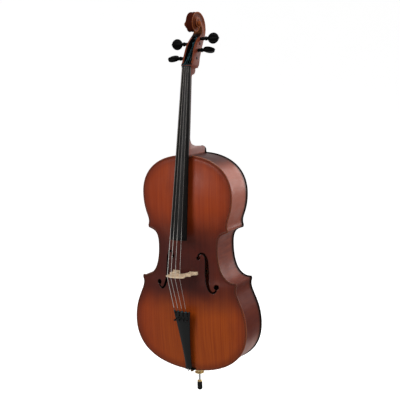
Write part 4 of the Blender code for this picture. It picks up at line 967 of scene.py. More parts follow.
def make_nut():
    """A small ebony bridge with a groove for each string."""
    rings = []
    half = BOARD_HALVES[0] + 0.0003
    for x in places(-half, half, 90):
        groove = sum(
            0.0007 * math.exp(-(((x - nut_x) / (radius * 1.3)) ** 2)) for _, radius, nut_x, *_ in STRINGS
        )
        ease = rounding(half - abs(x), 0.0012)
        top = BOARD_NUT_Y - 0.0012 + crown(x) + groove + ease
        ring = [(x, nut_seat(NUT_Z), NUT_Z), (x, top + 0.0008, NUT_Z), (x, top, NUT_Z + 0.0006)]
        ring += [(x, top + 0.0001, NUT_Z + 0.002), (x, top + 0.0007, NUT_Z + 0.0045)]
        ring += [(x, top + 0.0020, NUT_Z + NUT_LENGTH - 0.0006), (x, top + 0.0034, NUT_Z + NUT_LENGTH)]
        ring += [(x, nut_seat(NUT_Z + NUT_LENGTH), NUT_Z + NUT_LENGTH)]
        rings.append(ring)
    node_look("nut", loft(rings), "ebony")


PEGBOX = (
    (1.1445, -0.0375, 0.0170, 0.0205),
    (1.1560, -0.0300, 0.0205, 0.0210),
    (1.1680, -0.0240, 0.0240, 0.0205),
    (1.1800, -0.0190, 0.0300, 0.0200),
    (1.1945, -0.0120, 0.0380, 0.0192),
    (1.2080, -0.0040, 0.0460, 0.0185),
    (1.2200, 0.0060, 0.0540, 0.0178),
    (1.2310, 0.0185, 0.0615, 0.0172),
    (1.2420, 0.0330, 0.0690, 0.0166),
    (1.2540, 0.0480, 0.0740, 0.0157),
)
# Rounded end of the head behind the nut: height, shoulder, back, half width and boxiness.
CHIN = (
    (1.1125, -0.0300, -0.0180, 0.0161, 1.0),
    (1.1145, -0.0230, -0.0070, 0.0160, 1.0),
    (1.1180, -0.0160, 0.0025, 0.0158, 1.0),
    (1.1230, -0.0110, 0.0070, 0.0157, 1.0),
    (1.1285, -0.0090, 0.0085, 0.0157, 1.0),
    (1.1340, -0.0080, 0.0078, 0.0160, 0.9),
    (1.1352, -0.0030, 0.0155, 0.0195, 0.6),
    (1.1365, -0.0025, 0.0158, 0.0197, 0.6),
)
PEGBOX_WALL = 0.006
PEGBOX_FLOOR = 0.009
PEGBOX_HOLLOW_BOTTOM = 1.1480
SCROLL_EYE = (0.014, 1.282)
SCROLL_RADII = (0.077, 0.062, 0.038, 0.027, 0.027, 0.0235, 0.019, 0.0155, 0.0125, 0.0100)
SCROLL_HALVES = (0.0180, 0.0152, 0.0132, 0.0126, 0.0136, 0.0156, 0.0186, 0.0220, 0.0252, 0.0280)


def neck_stations():
    """(z, front, shoulder, back, half width in front, half width behind, boxiness, fluting)."""
    back = HALF_DEPTH - 0.0003
    heel = (
        (NECK_ROOT_Z, back - 0.010, back, BUTTON_HALF),
        (0.8560, back - 0.010, back, BUTTON_HALF),
        (0.8650, back - 0.010, back, BUTTON_HALF),
        (0.8690, 0.0440, 0.0560, 0.0152),
        (0.8708, 0.0160, 0.0320, 0.0150),
        (0.8740, -0.0140, 0.0040, 0.0155),
        (0.8792, -0.0380, -0.0200, 0.0165),
        (0.8870, -0.0530, -0.0375, 0.0180),
    )
    rows = []
    for z, shoulder, rear, half in heel:
        front_half = min(HEEL_HALF, board_half(z) - 0.0005)
        rows.append((z, board_underside(z), shoulder, rear, front_half, half, 1.0, 0.0))
    heights = (0.903, 0.93, 0.98, 1.02, 1.06, 1.09, 1.106)
    for z in heights:
        low = (NUT_Z - z) / (NUT_Z - heights[0])
        rear = board_surface(z) + NECK_THICKNESS[0] + (NECK_THICKNESS[1] - NECK_THICKNESS[0]) * low
        half = board_half(z) - 0.0004
        rows.append((z, board_underside(z), board_underside(z) + 0.003, rear, half, half, 1.0, 0.0))
    for z, shoulder, rear, half, boxy in CHIN:
        rows.append((z, board_underside(z), shoulder, rear, 0.0162, half, boxy, 0.0))
    for i, (z, front, rear, half) in enumerate(PEGBOX):
        square = i / (len(PEGBOX) - 1)
        shoulder = rear - 0.007 + 0.004 * square
        rows.append((z, front, shoulder, rear, half, half, 0.55 - 0.37 * square, min(i / 4, 1)))
    return rows


def neck_ring(z, front, shoulder, back, front_half, back_half, boxiness, fluting):
    """A section of the neck: a flat front with eased corners, and a round or boxy back."""
    ease = 0.0009
    ring = [
        (-front_half + ease, front, z),
        (front_half - ease, front, z),
        (front_half - ease * 0.25, front + ease * 0.3, z),
        (front_half, front + ease, z),
    ]
    steps = 32
    for i in range(steps + 1):
        across = math.sin(math.pi * (0.5 - i / steps))
        power = 2 / boxiness
        depth = max(1 - abs(across) ** power, 0.0) ** (1 / power)
        flute = 0.0022 * fluting * math.sin(math.pi * min(abs(across) / 0.92, 1.0)) ** 2
        ring.append((back_half * across, shoulder + (back - shoulder) * depth - flute, z))
    ring += [(-front_half, front + ease, z), (-front_half + ease * 0.25, front + ease * 0.3, z)]
    return ring


def table_at(values, place):
    """A smooth value between the entries of a table."""
    place = min(max(place, 0), len(values) - 1.001)
    i = int(place)
    before, after = values[max(i - 1, 0)], values[min(i + 2, len(values) - 1)]
    return spline(before, values[i], values[i + 1], after, place - i)


def scroll_ring(quarter):
    """A section of the volute: fluted back, eased edge and hollowed cheek, down into the next turn."""
    angle = quarter * math.pi / 2
    radius = table_at(SCROLL_RADII, quarter + 1)
    half = table_at(SCROLL_HALVES, quarter + 1)
    inner = table_at(SCROLL_RADII, quarter + 5) - 0.0022 if quarter < 4 else 0.004
    throat = min(max((quarter + 0.44) / 0.60, 0), 1)
    inner = 0.0435 + (inner - 0.0435) * throat * throat * (3 - 2 * throat)
    flute = 0.0023 * min(max((7.5 - quarter) / 3, 0), 1)
    section = []
    for t in places(0.0, 1.0, 13):
        x = t * (half - 0.0014)
        section.append((x, radius - flute * math.sin(math.pi * t) ** 2))
    section.append((half - 0.0005, radius - 0.0003))
    section.append((half, radius - 0.0010))
    land = radius - 0.0026
    section.append((half, land))
    hollow = min(0.0032, 0.30 * (land - inner))
    rise = 0.42 * (table_at((*SCROLL_HALVES, 0.0295, 0.0305, 0.031, 0.031, 0.031), quarter + 5) - half)
    for t in places(0.0, 1.0, 10)[1:]:
        dip = hollow * math.sin(math.pi * t**0.7) * throat
        section.append((half - dip + rise * t * throat, land + (inner - land) * t))
    whole = [(-x, r) for x, r in reversed(section[1:])] + section
    y, z = SCROLL_EYE
    return [(x, y + r * math.cos(angle), z + r * math.sin(angle)) for x, r in whole]


WORN_ANGLE = 0.55


def scroll_shade(quarter):
    """How dark each point of that section is painted: darker on the outside, and painted shade in the
    cheek's groove and at the throat.
    """
    throat = min(max((quarter + 0.44) / 0.60, 0), 1)
    half = [1.0] * 13 + [0.35, 0.0, 0.0]
    for t in places(0.0, 1.0, 10)[1:]:
        half.append(max(0.78 * throat * math.sin(math.pi * t**0.7) ** 0.7, (1 - throat) * t))
    return half[:0:-1] + half


def wear(mesh, strength):
    """Marks the vertices on outward corners, where the varnish wears thin first."""
    bm = bmesh.new()
    bm.from_mesh(mesh)
    layer = bm.verts.layers.float.new("wear")
    for edge in bm.edges:
        if len(edge.link_faces) == 2 and edge.calc_face_angle_signed(0) > WORN_ANGLE:
            for vertex in edge.verts:
                vertex[layer] = strength
    bm.to_mesh(mesh)
    bm.free()


def cut(piece, cutter):
    """Takes one closed piece out of another, and does away with it."""
    modifier = piece.modifiers.new("cut", "BOOLEAN")
    modifier.object = cutter
    modifier.operation = "DIFFERENCE"
    modifier.solver = "EXACT"
    graph = bpy.context.evaluated_depsgraph_get()
    mesh = bpy.data.meshes.new_from_object(piece.evaluated_get(graph))
    piece.modifiers.clear()
    piece.data = mesh
    bpy.data.objects.remove(cutter, do_unlink=True)


def rod(name, start, end, radius, material, sides=24, ease=0.0):
    """A round bar between two points, with eased ends if ease is given."""
    length = (Vector(end) - Vector(start)).length
    profile = [(0, 0), (radius, 0), (radius, length), (0, length)]
    if ease:
        profile[1:3] = [(radius - ease, 0), (radius, ease), (radius, length - ease), (radius - ease, length)]
    bm = lathe(profile, sides)
    bm.transform(anchored(start, end))
    return mesh_piece(name, bm, material)


def join(name, pieces):
    """One piece from several, as one mesh."""
    bm = bmesh.new()
    for piece in pieces:
        bm.from_mesh(piece.data)
    mesh = bpy.data.meshes.new(name)
    bm.to_mesh(mesh)
    bm.free()
    material = pieces[0].data.materials[0]
    for piece in pieces:
        bpy.data.objects.remove(piece, do_unlink=True)
    return link_mesh(name, mesh, material)


def mark_inside(mesh):
    """Marks the walls and the floor of the pegbox's hollow, which are stained black, and the throat's
    front-facing faces, darkened as painted shade.
    """
    heights = [row[0] for row in PEGBOX]
    mark = mesh.attributes.new("inside", "FLOAT", "FACE")
    for face in mesh.polygons:
        x, y, z = face.center
        floor = np.interp(z, heights, [row[2] for row in PEGBOX]) - 0.006
        wall = np.interp(z, heights, [row[3] for row in PEGBOX]) - PEGBOX_WALL
        in_hollow = 1.147 < z < 1.247 and abs(x) < wall + 0.0002 and y < floor
        # The throat's front-facing faces get painted shade.
        in_throat = z > 1.238 and face.normal.y < -0.3
        mark.data[face.index].value = 1.0 if in_hollow else 0.8 * in_throat


def make_neck():
    """The neck and the hollowed pegbox, the volute and its eyes, as one piece."""
    rings = [neck_ring(*row) for row in smooth_path(neck_stations(), 5)]
    neck = mesh_piece("neck_core", loft(rings), SLOTS["maple_varnish"], 0.7)
    hollow = []
    ease = 0.003
    for z, front, rear, half in smooth_path(PEGBOX[:-1], 4):
        if z < PEGBOX_HOLLOW_BOTTOM:
            continue
        inner = half - PEGBOX_WALL
        floor = rear - PEGBOX_FLOOR
        hollow.append(
            [(-inner, front - 0.012, z), (inner, front - 0.012, z), (inner, floor - ease, z)]
            + [(inner - ease * 0.3, floor - ease * 0.3, z), (inner - ease, floor, z)]
            + [(-inner + ease, floor, z), (-inner + ease * 0.3, floor - ease * 0.3, z)]
            + [(-inner, floor - ease, z)]
        )
    cut(neck, mesh_piece("pegbox_hollow", loft(hollow), SLOTS["maple_varnish"]))
    mark_inside(neck.data)
    turns = places(-0.55, 8.6, 200)
    volute = mesh_piece("volute", loft([scroll_ring(quarter) for quarter in turns]), SLOTS["maple_varnish"])
    # Painted shade in the cheek's grooves and the throat, and a darker outside, one value per point.
    shade = [value for quarter in turns for value in scroll_shade(quarter)]
    volute.data.attributes.new("shade", "FLOAT", "POINT").data.foreach_set("value", shade)
    y, z = SCROLL_EYE
    eye_profile = ((0, -0.031), (0.0035, -0.0307), (0.0058, -0.0297), (0.0070, -0.0280), (0.0074, -0.0262))
    profile = list(eye_profile) + [(r, -x) for r, x in reversed(eye_profile)]
    bm = lathe(profile, 40)
    bm.transform(Matrix.Translation((0, y, z)) @ Matrix.Rotation(math.pi / 2, 4, "Y"))
    eyes = mesh_piece("eyes", bm, SLOTS["maple_varnish"])
    for part, strength in ((neck, 0.35), (volute, 1.0), (eyes, 0.6)):
        wear(part.data, strength)
    stand_for(join("neck_look", [neck, volute, eyes]), "body", "neck_and_scroll")


# ---------------------------------------------------------------- pegs
PEG_RADIUS = 0.0055
PEG_HEAD = (0.0210, 0.0188, 0.0072)  # half its length, half its height and half its thickness
PEG_BALL = 0.0021
# The turned collar, from the shaft to inside the head: radius and place before the head.
PEG_COLLAR = ((PEG_RADIUS, -0.0085), (0.0062, -0.0080), (0.0071, -0.0072), (0.0074, -0.0062))
PEG_COLLAR += ((0.0071, -0.0052), (0.0060, -0.0045), (0.0059, -0.0040), (0.0066, -0.0034))
PEG_COLLAR += ((0.0068, -0.0028), (0.0065, -0.0021), (0.0056, -0.0014), (0.0051, 0.001))
PEG_COLLAR += ((0.0048, 0.008), (0, 0.010))
# name, side, place, turn and how far out its head's centre is
PEGS = (
    ("peg_c", -1, (0.000, 1.1680), math.radians(60), 0.0690),
    ("peg_g", -1, (0.0275, 1.2160), math.radians(0), 0.0690),
    ("peg_d", 1, (0.0370, 1.2330), math.radians(-8), 0.0640),
    ("peg_a", 1, (0.0115, 1.1945), math.radians(62), 0.0605),
)


def pegbox_half(z):
    """Half the pegbox's width at a height."""
    return float(np.interp(z, [row[0] for row in PEGBOX], [row[3] for row in PEGBOX]))


def make_peg(name, side, spot, turn, centre):
    """A tapered shaft with a turned collar, a hollow-faced thumb-piece and a small ball at its end."""
    y, z = spot
    length, height, thick = PEG_HEAD
    neck = centre - length
    tip = -pegbox_half(z) - 0.0008
    profile = [(0, tip), (PEG_RADIUS - 0.0014, tip), (PEG_RADIUS - 0.0008, tip + 0.0005)]
    profile += [(PEG_RADIUS, 0.0)] + [(radius, neck + along) for radius, along in PEG_COLLAR]
    shaft = mesh_piece(f"{name}_shaft", lathe(profile, 36), PEG_BLACK, 0.5)
    rings = []
    for s in [0.5 - 0.5 * math.cos(math.pi * t) for t in places(0.0, 1.0, 40)]:
        along = neck - 0.0016 + (2 * length + 0.0006) * s
        wide = height * math.sqrt(max(1 - ((s - 0.54) / 0.46) ** 2, 0.0))
        wide = max(wide, 0.0052 * (1 - s), 0.0008)
        full = thick * (0.72 + 0.28 * math.sin(math.pi * s) ** 0.7)
        ring = []
        for i in range(40):
            angle = math.tau * i / 40
            c, d = math.cos(angle), math.sin(angle)
            share = min(wide / height, 1)
            body = math.copysign(abs(d) ** 0.8, d) * min(full, wide * 1.02)
            hollow = 1 - 0.34 * share * math.exp(-(((abs(c) - 0.52) / 0.28) ** 2))
            ring.append((wide * math.copysign(abs(c) ** 0.9, c), body * hollow, along))
        rings.append(ring)
    head = mesh_piece(f"{name}_head", loft(rings), PEG_BLACK, 0.9)
    end = centre + length
    round_end = [(0, end + 0.0022)]
    for a in places(0.25, math.pi - 0.1, 9):
        round_end.append((PEG_BALL * math.sin(a), end + 0.0001 + PEG_BALL * math.cos(a)))
    ball = mesh_piece(f"{name}_ball", lathe(round_end + [(0, end - 0.002)], 20), PEG_BLACK)
    piece = join(f"{name}_look", [shaft, head, ball])
    seat = Matrix.Translation((0, y, z)) @ Matrix.Rotation(side * math.pi / 2, 4, "Y")
    piece.data.transform(seat @ Matrix.Rotation(turn, 4, "Z"))
    stand_for(piece, name, name)


# ---------------------------------------------------------------- bridge
BRIDGE_Z = 0.448
BRIDGE_TOP_Y = -0.168
BRIDGE_THICKNESS = (0.011, 0.0027)  # at the feet and at the top
BRIDGE_EASE = 0.0005
BRIDGE_SPACING = 0.0042


def arch_at(x, z):
    """The arching at one place."""
    return float(arch(np.array([x]), np.array([z]))[0])


def bridge_top(x):
    """The bridge's crowned upper edge."""
    return BRIDGE_TOP_Y + crown(x, 0.065)


def bridge_foot(x):
    """The top plate's surface under the bridge, less a hair's gap."""
    return -PLATE_OUTSIDE - arch_at(x, BRIDGE_Z) - 0.0003


def sheet(loops, faces_at, ease, spacing, name, material):
    """A board with holes and eased edges; faces_at gives both faces' heights at a place."""
    flat = np.array([tuple(p) for p in loops[0]])
    low, high = flat.min(axis=0), flat.max(axis=0)
    extra = []
    for i, loop in enumerate(loops):
        for inset in (ease * 0.3, ease):
            extra.append(np.array([tuple(p) for p in inset_loop(loop, -inset if i else inset)]))
    columns, rows = (np.arange(low[axis], high[axis], spacing) for axis in (0, 1))
    extra.append(np.array([(x, y) for x in columns for y in rows]))
    extra = np.concatenate(extra)
    extra = extra[(closest(extra, loops) > ease * 0.28) & inside(extra, loops[0])]
    for hole in loops[1:]:
        extra = extra[~inside(extra, hole)]
    flat, triangles = fill(loops, extra)
    drop = rounding(closest(flat, loops), ease)
    bm = bmesh.new()
    front, back = {}, {}
    for i in sorted(set(triangles.ravel().tolist())):
        u, v = flat[i]
        low_face, high_face = faces_at(u, v)
        front[i] = bm.verts.new((u, v, high_face - drop[i]))
        back[i] = bm.verts.new((u, v, low_face + drop[i]))
    skin(bm, triangles, front, back)
    return mesh_piece(name, outward(bm), material, 0.8)


def make_bridge():
    """A cello bridge on two long legs: shaped feet, side hooks with their eyes, and a heart."""
    base = bridge_foot(0.020)
    side = [
        (0.0475, bridge_foot(0.0475)),
        (0.0470, bridge_foot(0.0470) - 0.0024),
        (0.0440, base - 0.0032),
        (0.0395, base - 0.0062),
        (0.0362, base - 0.0120),
        (0.0352, base - 0.0185),
        (0.0362, base - 0.0245),
        (0.0392, base - 0.0292),
        (0.0398, base - 0.0335),
        (0.0372, base - 0.0365),
        (0.0330, base - 0.0372),
        (0.0306, base - 0.0392),
        (0.0290, base - 0.0440),
        (0.0292, base - 0.0505),
        (0.0312, base - 0.0575),
        (0.0334, base - 0.0635),
        (0.0338, base - 0.0690),
        (0.0326, base - 0.0725),
    ]
    side = smooth_path(side, 4) + [(0.0310, bridge_top(0.031))]
    top = [(x, bridge_top(x) + string_notch(x)) for x in places(0.0300, 0.0005, 60)]
    between = [
        (0.0, base - 0.0365),
        (0.0060, base - 0.0358),
        (0.0118, base - 0.0325),
        (0.0162, base - 0.0265),
        (0.0192, base - 0.0185),
        (0.0210, base - 0.0095),
        (0.0204, base - 0.0042),
        (0.0186, base - 0.0022),
    ]
    between = smooth_path(between, 4) + [(0.0185, bridge_foot(0.0185))]
    feet = [(x, bridge_foot(x)) for x in places(0.0200, 0.0465, 12)]
    half = between + feet + side + top
    outline = half + [(0.0, bridge_top(0))] + [(-x, y) for x, y in reversed(half[1:])]
    holes = [heart_hole(base)]
    for mirror in (1, -1):
        eye = [
            (
                mirror * (0.0262 + 0.0046 * math.cos(a) + 0.0012 * math.sin(2 * a)),
                base - 0.0318 + 0.0030 * math.sin(a),
            )
            for a in (math.tau * i / 26 for i in range(26))
        ]
        holes.append(eye)
    loops = [anticlockwise([Vector(p) for p in loop]) for loop in (outline, *holes)]
    span = bridge_top(0) - base

    def faces(u, v):
        share = min(max((v - base) / span, 0), 1)
        thick = BRIDGE_THICKNESS[0] + (BRIDGE_THICKNESS[1] - BRIDGE_THICKNESS[0]) * share
        belly = 0.0006 * math.sin(math.pi * share)
        return -thick / 2, thick / 2 + belly

    piece = sheet(loops, faces, BRIDGE_EASE, BRIDGE_SPACING, "bridge_look", SLOTS["bridge_maple"])
    piece.data.transform(Matrix.Translation((0, 0, BRIDGE_Z)))
    stand_for(piece, "body", "bridge")


def string_notch(x):
    """The notches that seat the strings in the bridge's top."""
    return sum(0.0004 * math.exp(-(((x - abs(row[3])) / (row[1] * 1.2)) ** 2)) for row in STRINGS[2:])


def heart_hole(base):
    """The heart in the bridge's middle."""
    loop = []
    for i in range(44):
        a = math.tau * i / 44
        x = 0.0066 * math.sin(a) ** 3
        y = 0.0066 * (13 * math.cos(a) - 5 * math.cos(2 * a) - 2 * math.cos(3 * a) - math.cos(4 * a)) / 16
        loop.append(Vector((x, base - 0.0520 - y)))
    return loop


# ---------------------------------------------------------------- strings
def tube(name, centres, radii, material, sides=14):
    """A round bar along a path, its section carried without twist."""
    path = [Vector(p) for p in centres]
    radii = [radii] * len(path) if isinstance(radii, float) else radii
    tangents = []
    for i in range(len(path)):
        tangents.append((path[min(i + 1, len(path) - 1)] - path[max(i - 1, 0)]).normalized())
    normal = tangents[0].orthogonal().normalized()
    rings = []
    for point, tangent, before, radius in zip(path, tangents, [tangents[0], *tangents], radii):
        normal = before.rotation_difference(tangent) @ normal
        normal = (normal - tangent * normal.dot(tangent)).normalized()
        other = tangent.cross(normal)
        turns = [math.tau * i / sides for i in range(sides)]
        rings.append([point + radius * (normal * math.cos(a) + other * math.sin(a)) for a in turns])
    return mesh_piece(name, loft(rings), material, 1.2)


def string_centres(radius, nut_x, bridge_x, tail_x, peg):
    """From the turns round the peg, over the nut and the bridge, to the tuner lever."""
    _, _, (peg_y, peg_z), *_ = next(row for row in PEGS if row[0] == peg)
    nut_far = Vector((BOARD_NUT_Y - 0.0002 + crown(nut_x) - radius - 0.0006, NUT_Z + NUT_LENGTH))
    nut_near = Vector((BOARD_NUT_Y - 0.0010 + crown(nut_x) - radius - 0.0006, NUT_Z + 0.0010))
    coil = PEG_RADIUS + radius + 0.0003
    back = nut_far - Vector((peg_y, peg_z))
    touch = math.atan2(back.y, back.x) - math.acos(coil / back.length)
    outward_step = math.copysign(2 * radius + 0.0002, nut_x)
    start_x = 0.55 * nut_x
    steps = 28
    points = []
    for i in range(3 * steps, -1, -1):
        angle = touch - math.tau * i / steps
        x = start_x + outward_step * i / steps
        points.append((x, peg_y + coil * math.cos(angle), peg_z + coil * math.sin(angle)))
    crest = bridge_top(bridge_x) - radius - 0.0006
    half = BRIDGE_THICKNESS[1] / 2
    corners = [points[-1], (nut_x, *nut_far), (nut_x, *nut_near), (bridge_x, crest, BRIDGE_Z + half)]
    corners += [(bridge_x, crest, BRIDGE_Z - half), tuple(tail_point(tail_x, 0.0075, 0.0030))]
    for a, b, count in zip(corners, corners[1:], (10, 4, 60, 3, 16)):
        points += [tuple(Vector(a).lerp(Vector(b), i / count)) for i in range(1, count + 1)]
    return points


def make_strings():
    """Each string is thicker where silk wraps it, behind the bridge and in the pegbox."""
    for name, radius, nut_x, bridge_x, tail_x, peg in STRINGS:
        centres = string_centres(radius, nut_x, bridge_x, tail_x, peg)
        radii = [radius * (1.12 if z < 0.3325 or z > 1.1405 else 1.0) for _, _, z in centres]
        run = tube(f"{name}_run", centres, radii, SLOTS["string_steel"], 12)
        end = tail_point(tail_x, 0.0075, 0.0030)
        half = Vector((0.0019, 0, 0))
        ball = rod(f"{name}_ball", end - half, end + half, 0.0016, SLOTS["string_steel"], 18, 0.0003)
        stand_for(join(f"{name}_look", [run, ball]), "body", name)


# ---------------------------------------------------------------- tailpiece and its tuners
TAIL_TOP = (-0.117, 0.318)
TAIL_BOTTOM = (-0.0775, 0.105)
TAIL_HALVES = (0.0315, 0.0115)
TAIL_THICKNESS = 0.009
TUNER_PIVOT = -0.010
TUNER_SCREW = -0.028
LEVER_WIDTH = 0.004
TAIL_BORE = 0.0019
CORD_SPREAD = 0.006
TAIL_LINE = Vector((0, TAIL_TOP[0] - TAIL_BOTTOM[0], TAIL_TOP[1] - TAIL_BOTTOM[1]))
TAIL_LENGTH = TAIL_LINE.length
TAIL_TILT = Matrix.Rotation(math.atan2(-TAIL_LINE.y, TAIL_LINE.z), 4, "X")
TAIL_FRAME = Matrix.Translation((0, *TAIL_TOP)) @ TAIL_TILT


def tail_point(x, out, along):
    """A place given along the tailpiece's own line, from its upper end."""
    return TAIL_FRAME @ Vector((x, -out, along))


def make_tailpiece():
    """A crowned bar, widest above, with rounded rims, slots for the tuner levers and a raised rib."""
    rings = []
    shares = [0.0, 0.003, 0.008] + places(0.02, 0.97, 46) + [0.98, 0.99, 0.996, 1.0]
    for share in shares:
        half = TAIL_HALVES[1] + (TAIL_HALVES[0] - TAIL_HALVES[1]) * (1 - share) ** 1.6
        near_top = max(0.008 - share, 0) / 0.008
        near_end = max(share - 0.975, 0) / 0.025
        half -= 0.0009 * near_top**2 + 0.0030 * near_end**2
        crest = TAIL_THICKNESS / 2 - 0.0008 * near_top**2 - 0.0010 * near_end**2
        rib = 0.0016 * math.exp(-(((share * TAIL_LENGTH - 0.0395) / 0.0016) ** 2))
        ring = []
        count = 40
        for i in range(count + 1):
            t = -1 + 2 * i / count
            x = half * math.sin(t * math.pi / 2)
            fall = 0.0040 * (x / half) ** 2
            roll = rounding(half - abs(x), 0.0013)
            out = crest - fall - roll + rib * (1 - (x / half) ** 4)
            ring.append(tuple(tail_point(x, out, -TAIL_LENGTH * share)))
        for x in (half, half - 0.0009, -half + 0.0009, -half):
            under = -TAIL_THICKNESS / 2 + (0.0008 if abs(x) == half else 0)
            ring.append(tuple(tail_point(x, under, -TAIL_LENGTH * share)))
        rings.append(ring)
    piece = mesh_piece("tailpiece_look", loft(rings), SLOTS["black_composite"], 0.6)
    half = LEVER_WIDTH / 2 + 0.0005
    low, high = TUNER_PIVOT - 0.0065, 0.01
    corners = [(-half, low + 0.001), (-half + 0.001, low), (half - 0.001, low), (half, low + 0.001)]
    corners += [(half, high), (-half, high)]
    for _, _, _, _, x, _ in STRINGS:
        slot = loft([[tuple(tail_point(x + u, out, v)) for u, v in corners] for out in (-0.02, 0.02)])
        cut(piece, mesh_piece("slot", slot, SLOTS["black_composite"]))
        bore_tail(piece, (x, -0.02, TUNER_SCREW), (x, 0.02, TUNER_SCREW))
    for x in (-CORD_SPREAD, CORD_SPREAD):
        bore_tail(piece, (x, 0, -TAIL_LENGTH - 0.01), (x, 0, -TAIL_LENGTH + 0.014))
    shade_again(piece, 0.6)
    stand_for(piece, "body", "tailpiece")


def bore_tail(piece, start, end):
    """Drills the tailpiece between two places given along its own line."""
    cut(piece, rod("bore", tail_point(*start), tail_point(*end), TAIL_BORE, SLOTS["black_composite"]))


def shade_again(piece, angle):
    """Smooth shading and sharp edges for a piece whose mesh a cut has remade."""
    piece.data.shade_smooth()
    piece.data.set_sharp_from_angle(angle=angle)


def knurled(name, radius, low, high, teeth, depth, ease, material):
    """A round knob with straight teeth along its rim and eased ends."""
    rings = []
    for z, inset in ((low, ease), (low + ease, 0.0), (high - ease, 0.0), (high, ease)):
        ring = []
        for i in range(teeth * 4):
            angle = math.tau * i / (teeth * 4)
            tooth = depth * (0.5 - 0.5 * math.cos(angle * teeth))
            reach = radius - tooth - inset
            ring.append((reach * math.cos(angle), reach * math.sin(angle), z))
        rings.append(ring)
    return mesh_piece(name, loft(rings), material, 0.5)


# The lever seen from the side: how far in front of the pivot's line, and how far along it.
LEVER_OUTLINE = (
    (0.0088, 0.0015),
    (0.0088, -0.0030),
    (0.0058, -0.0048),
    (0.0030, TUNER_PIVOT + 0.0035),
    (0.0024, TUNER_PIVOT - 0.0030),
    (-0.0055, TUNER_PIVOT - 0.0050),
    (-0.0062, TUNER_SCREW - 0.0040),
    (-0.0080, TUNER_SCREW - 0.0040),
    (-0.0078, TUNER_PIVOT - 0.0020),
    (-0.0030, TUNER_PIVOT + 0.0040),
    (0.0030, 0.0008),
)
TUNER_STEM = ((0, 0.0172), (0.0020, 0.0171), (0.0026, 0.0166), (0.0026, 0.0108), (0.0016, 0.0104))
TUNER_STEM += ((0.0015, -0.0046), (0.0009, -0.0052), (0, -0.0053))
AXLE_HALF = 0.0277


def make_tuners():
    """One axle, and on it a lever for each string with its screw and knob."""
    metal = SLOTS["black_metal"]
    ends = (tail_point(x, 0, TUNER_PIVOT) for x in (-AXLE_HALF, AXLE_HALF))
    axle = rod("tuner_axle_look", *ends, 0.0010, metal, 20, 0.0002)
    stand_for(axle, "body", "tuner_axle")
    outline = [Vector(p) for p in LEVER_OUTLINE]
    half, ease = LEVER_WIDTH / 2, 0.0004
    for name, _, _, _, x, _ in STRINGS:
        lever, screw = (f"tuner_{part}_{name[-1]}" for part in ("lever", "screw"))
        rings = []
        for across, inset in ((-half, ease), (-half + ease, 0), (half - ease, 0), (half, ease)):
            rings.append([tuple(tail_point(x + across, p.x, p.y)) for p in inset_loop(outline, -inset)])
        node_look(lever, loft(rings), "black_metal", 0.5, lever)
        knob = knurled("knob", 0.0037, 0.0110, 0.0165, 20, 0.00035, 0.0005, metal)
        stem = mesh_piece("stem", lathe(TUNER_STEM, 24), metal)
        piece = join(f"{screw}_look", [knob, stem])
        seat = TAIL_FRAME @ Matrix.Translation((x, 0, TUNER_SCREW))
        piece.data.transform(seat @ Matrix.Rotation(math.pi / 2, 4, "X"))
        stand_for(piece, screw, screw)


def make_saddle():
    """An ebony block with two grooves for the tail cord, and eased ends."""
    low, top = BODY_BOTTOM + OVERHANG, BODY_BOTTOM + 0.0080
    end = [(0.018, 0.0008), (0.0176, 0.0003), (0.017, 0.0)]
    stations = [(-x, ease) for x, ease in end] + [(x, 0.0) for x in places(-0.016, 0.016, 30)] + end[::-1]
    rings = []
    for x, ease in stations:
        groove = 0.0005 * sum(math.exp(-(((x - c) / 0.0018) ** 2)) for c in (-0.0062, 0.0062))
        crest = top - ease
        dip = groove + ease
        ring = [(-HALF_DEPTH, low), (-HALF_DEPTH, crest), (-0.0660, crest)]
        ring += [(-0.0690 + groove, crest - 0.0002), (-0.0706 + dip, top - 0.0012)]
        ring += [(-0.0714 + dip, top - 0.0026), (-0.0715 + dip, top - 0.0040), (-0.0712 + ease, low)]
        rings.append([(x, y, z) for y, z in ring])
    node_look("saddle", loft(rings), "ebony")


def make_cord():
    """From the tailpiece over the saddle, round the endpin's plug and back."""
    radius, around, level = 0.0014, 0.0130, 0.0890
    route = [
        tuple(tail_point(CORD_SPREAD, 0, -TAIL_LENGTH + 0.012)),
        tuple(tail_point(CORD_SPREAD, 0, -TAIL_LENGTH - 0.002)),
        (0.0060, -0.0736, 0.0985),
        (0.0062, -0.0733, 0.0945),
        (0.0068, -0.0695, 0.0912),
        (0.0085, -0.0500, 0.0900),
        (around, -0.0080, level),
    ]
    arc = [(around * math.cos(a), around * math.sin(a), level) for a in places(0, math.pi, 11)]
    whole = smooth_path(route + arc + [(-x, y, z) for x, y, z in reversed(route)], 6)
    cord = tube("tail_cord_look", whole, radius, SLOTS["tail_cord"], 14)
    stand_for(cord, "body", "tail_cord")


# ---------------------------------------------------------------- endpin
TIP_TOP = 0.0292
TIP_SOCKET = 0.0120
FERRULE_TOP = 0.0345
ROD_RADIUS = 0.004
ROD_TOP = 0.500
BORE = 0.0047  # through the collar and the plug
SOCKET_RADIUS = 0.0043
COLLAR_BOTTOM = 0.0616
COLLAR_TOP = 0.0815
COLLAR_RADIUS = 0.0165
PLUG_TOP = 0.130
THUMB_Z = 0.0733
THUMB_AZIMUTH = math.radians(212)
THUMB_BORE = 0.0021
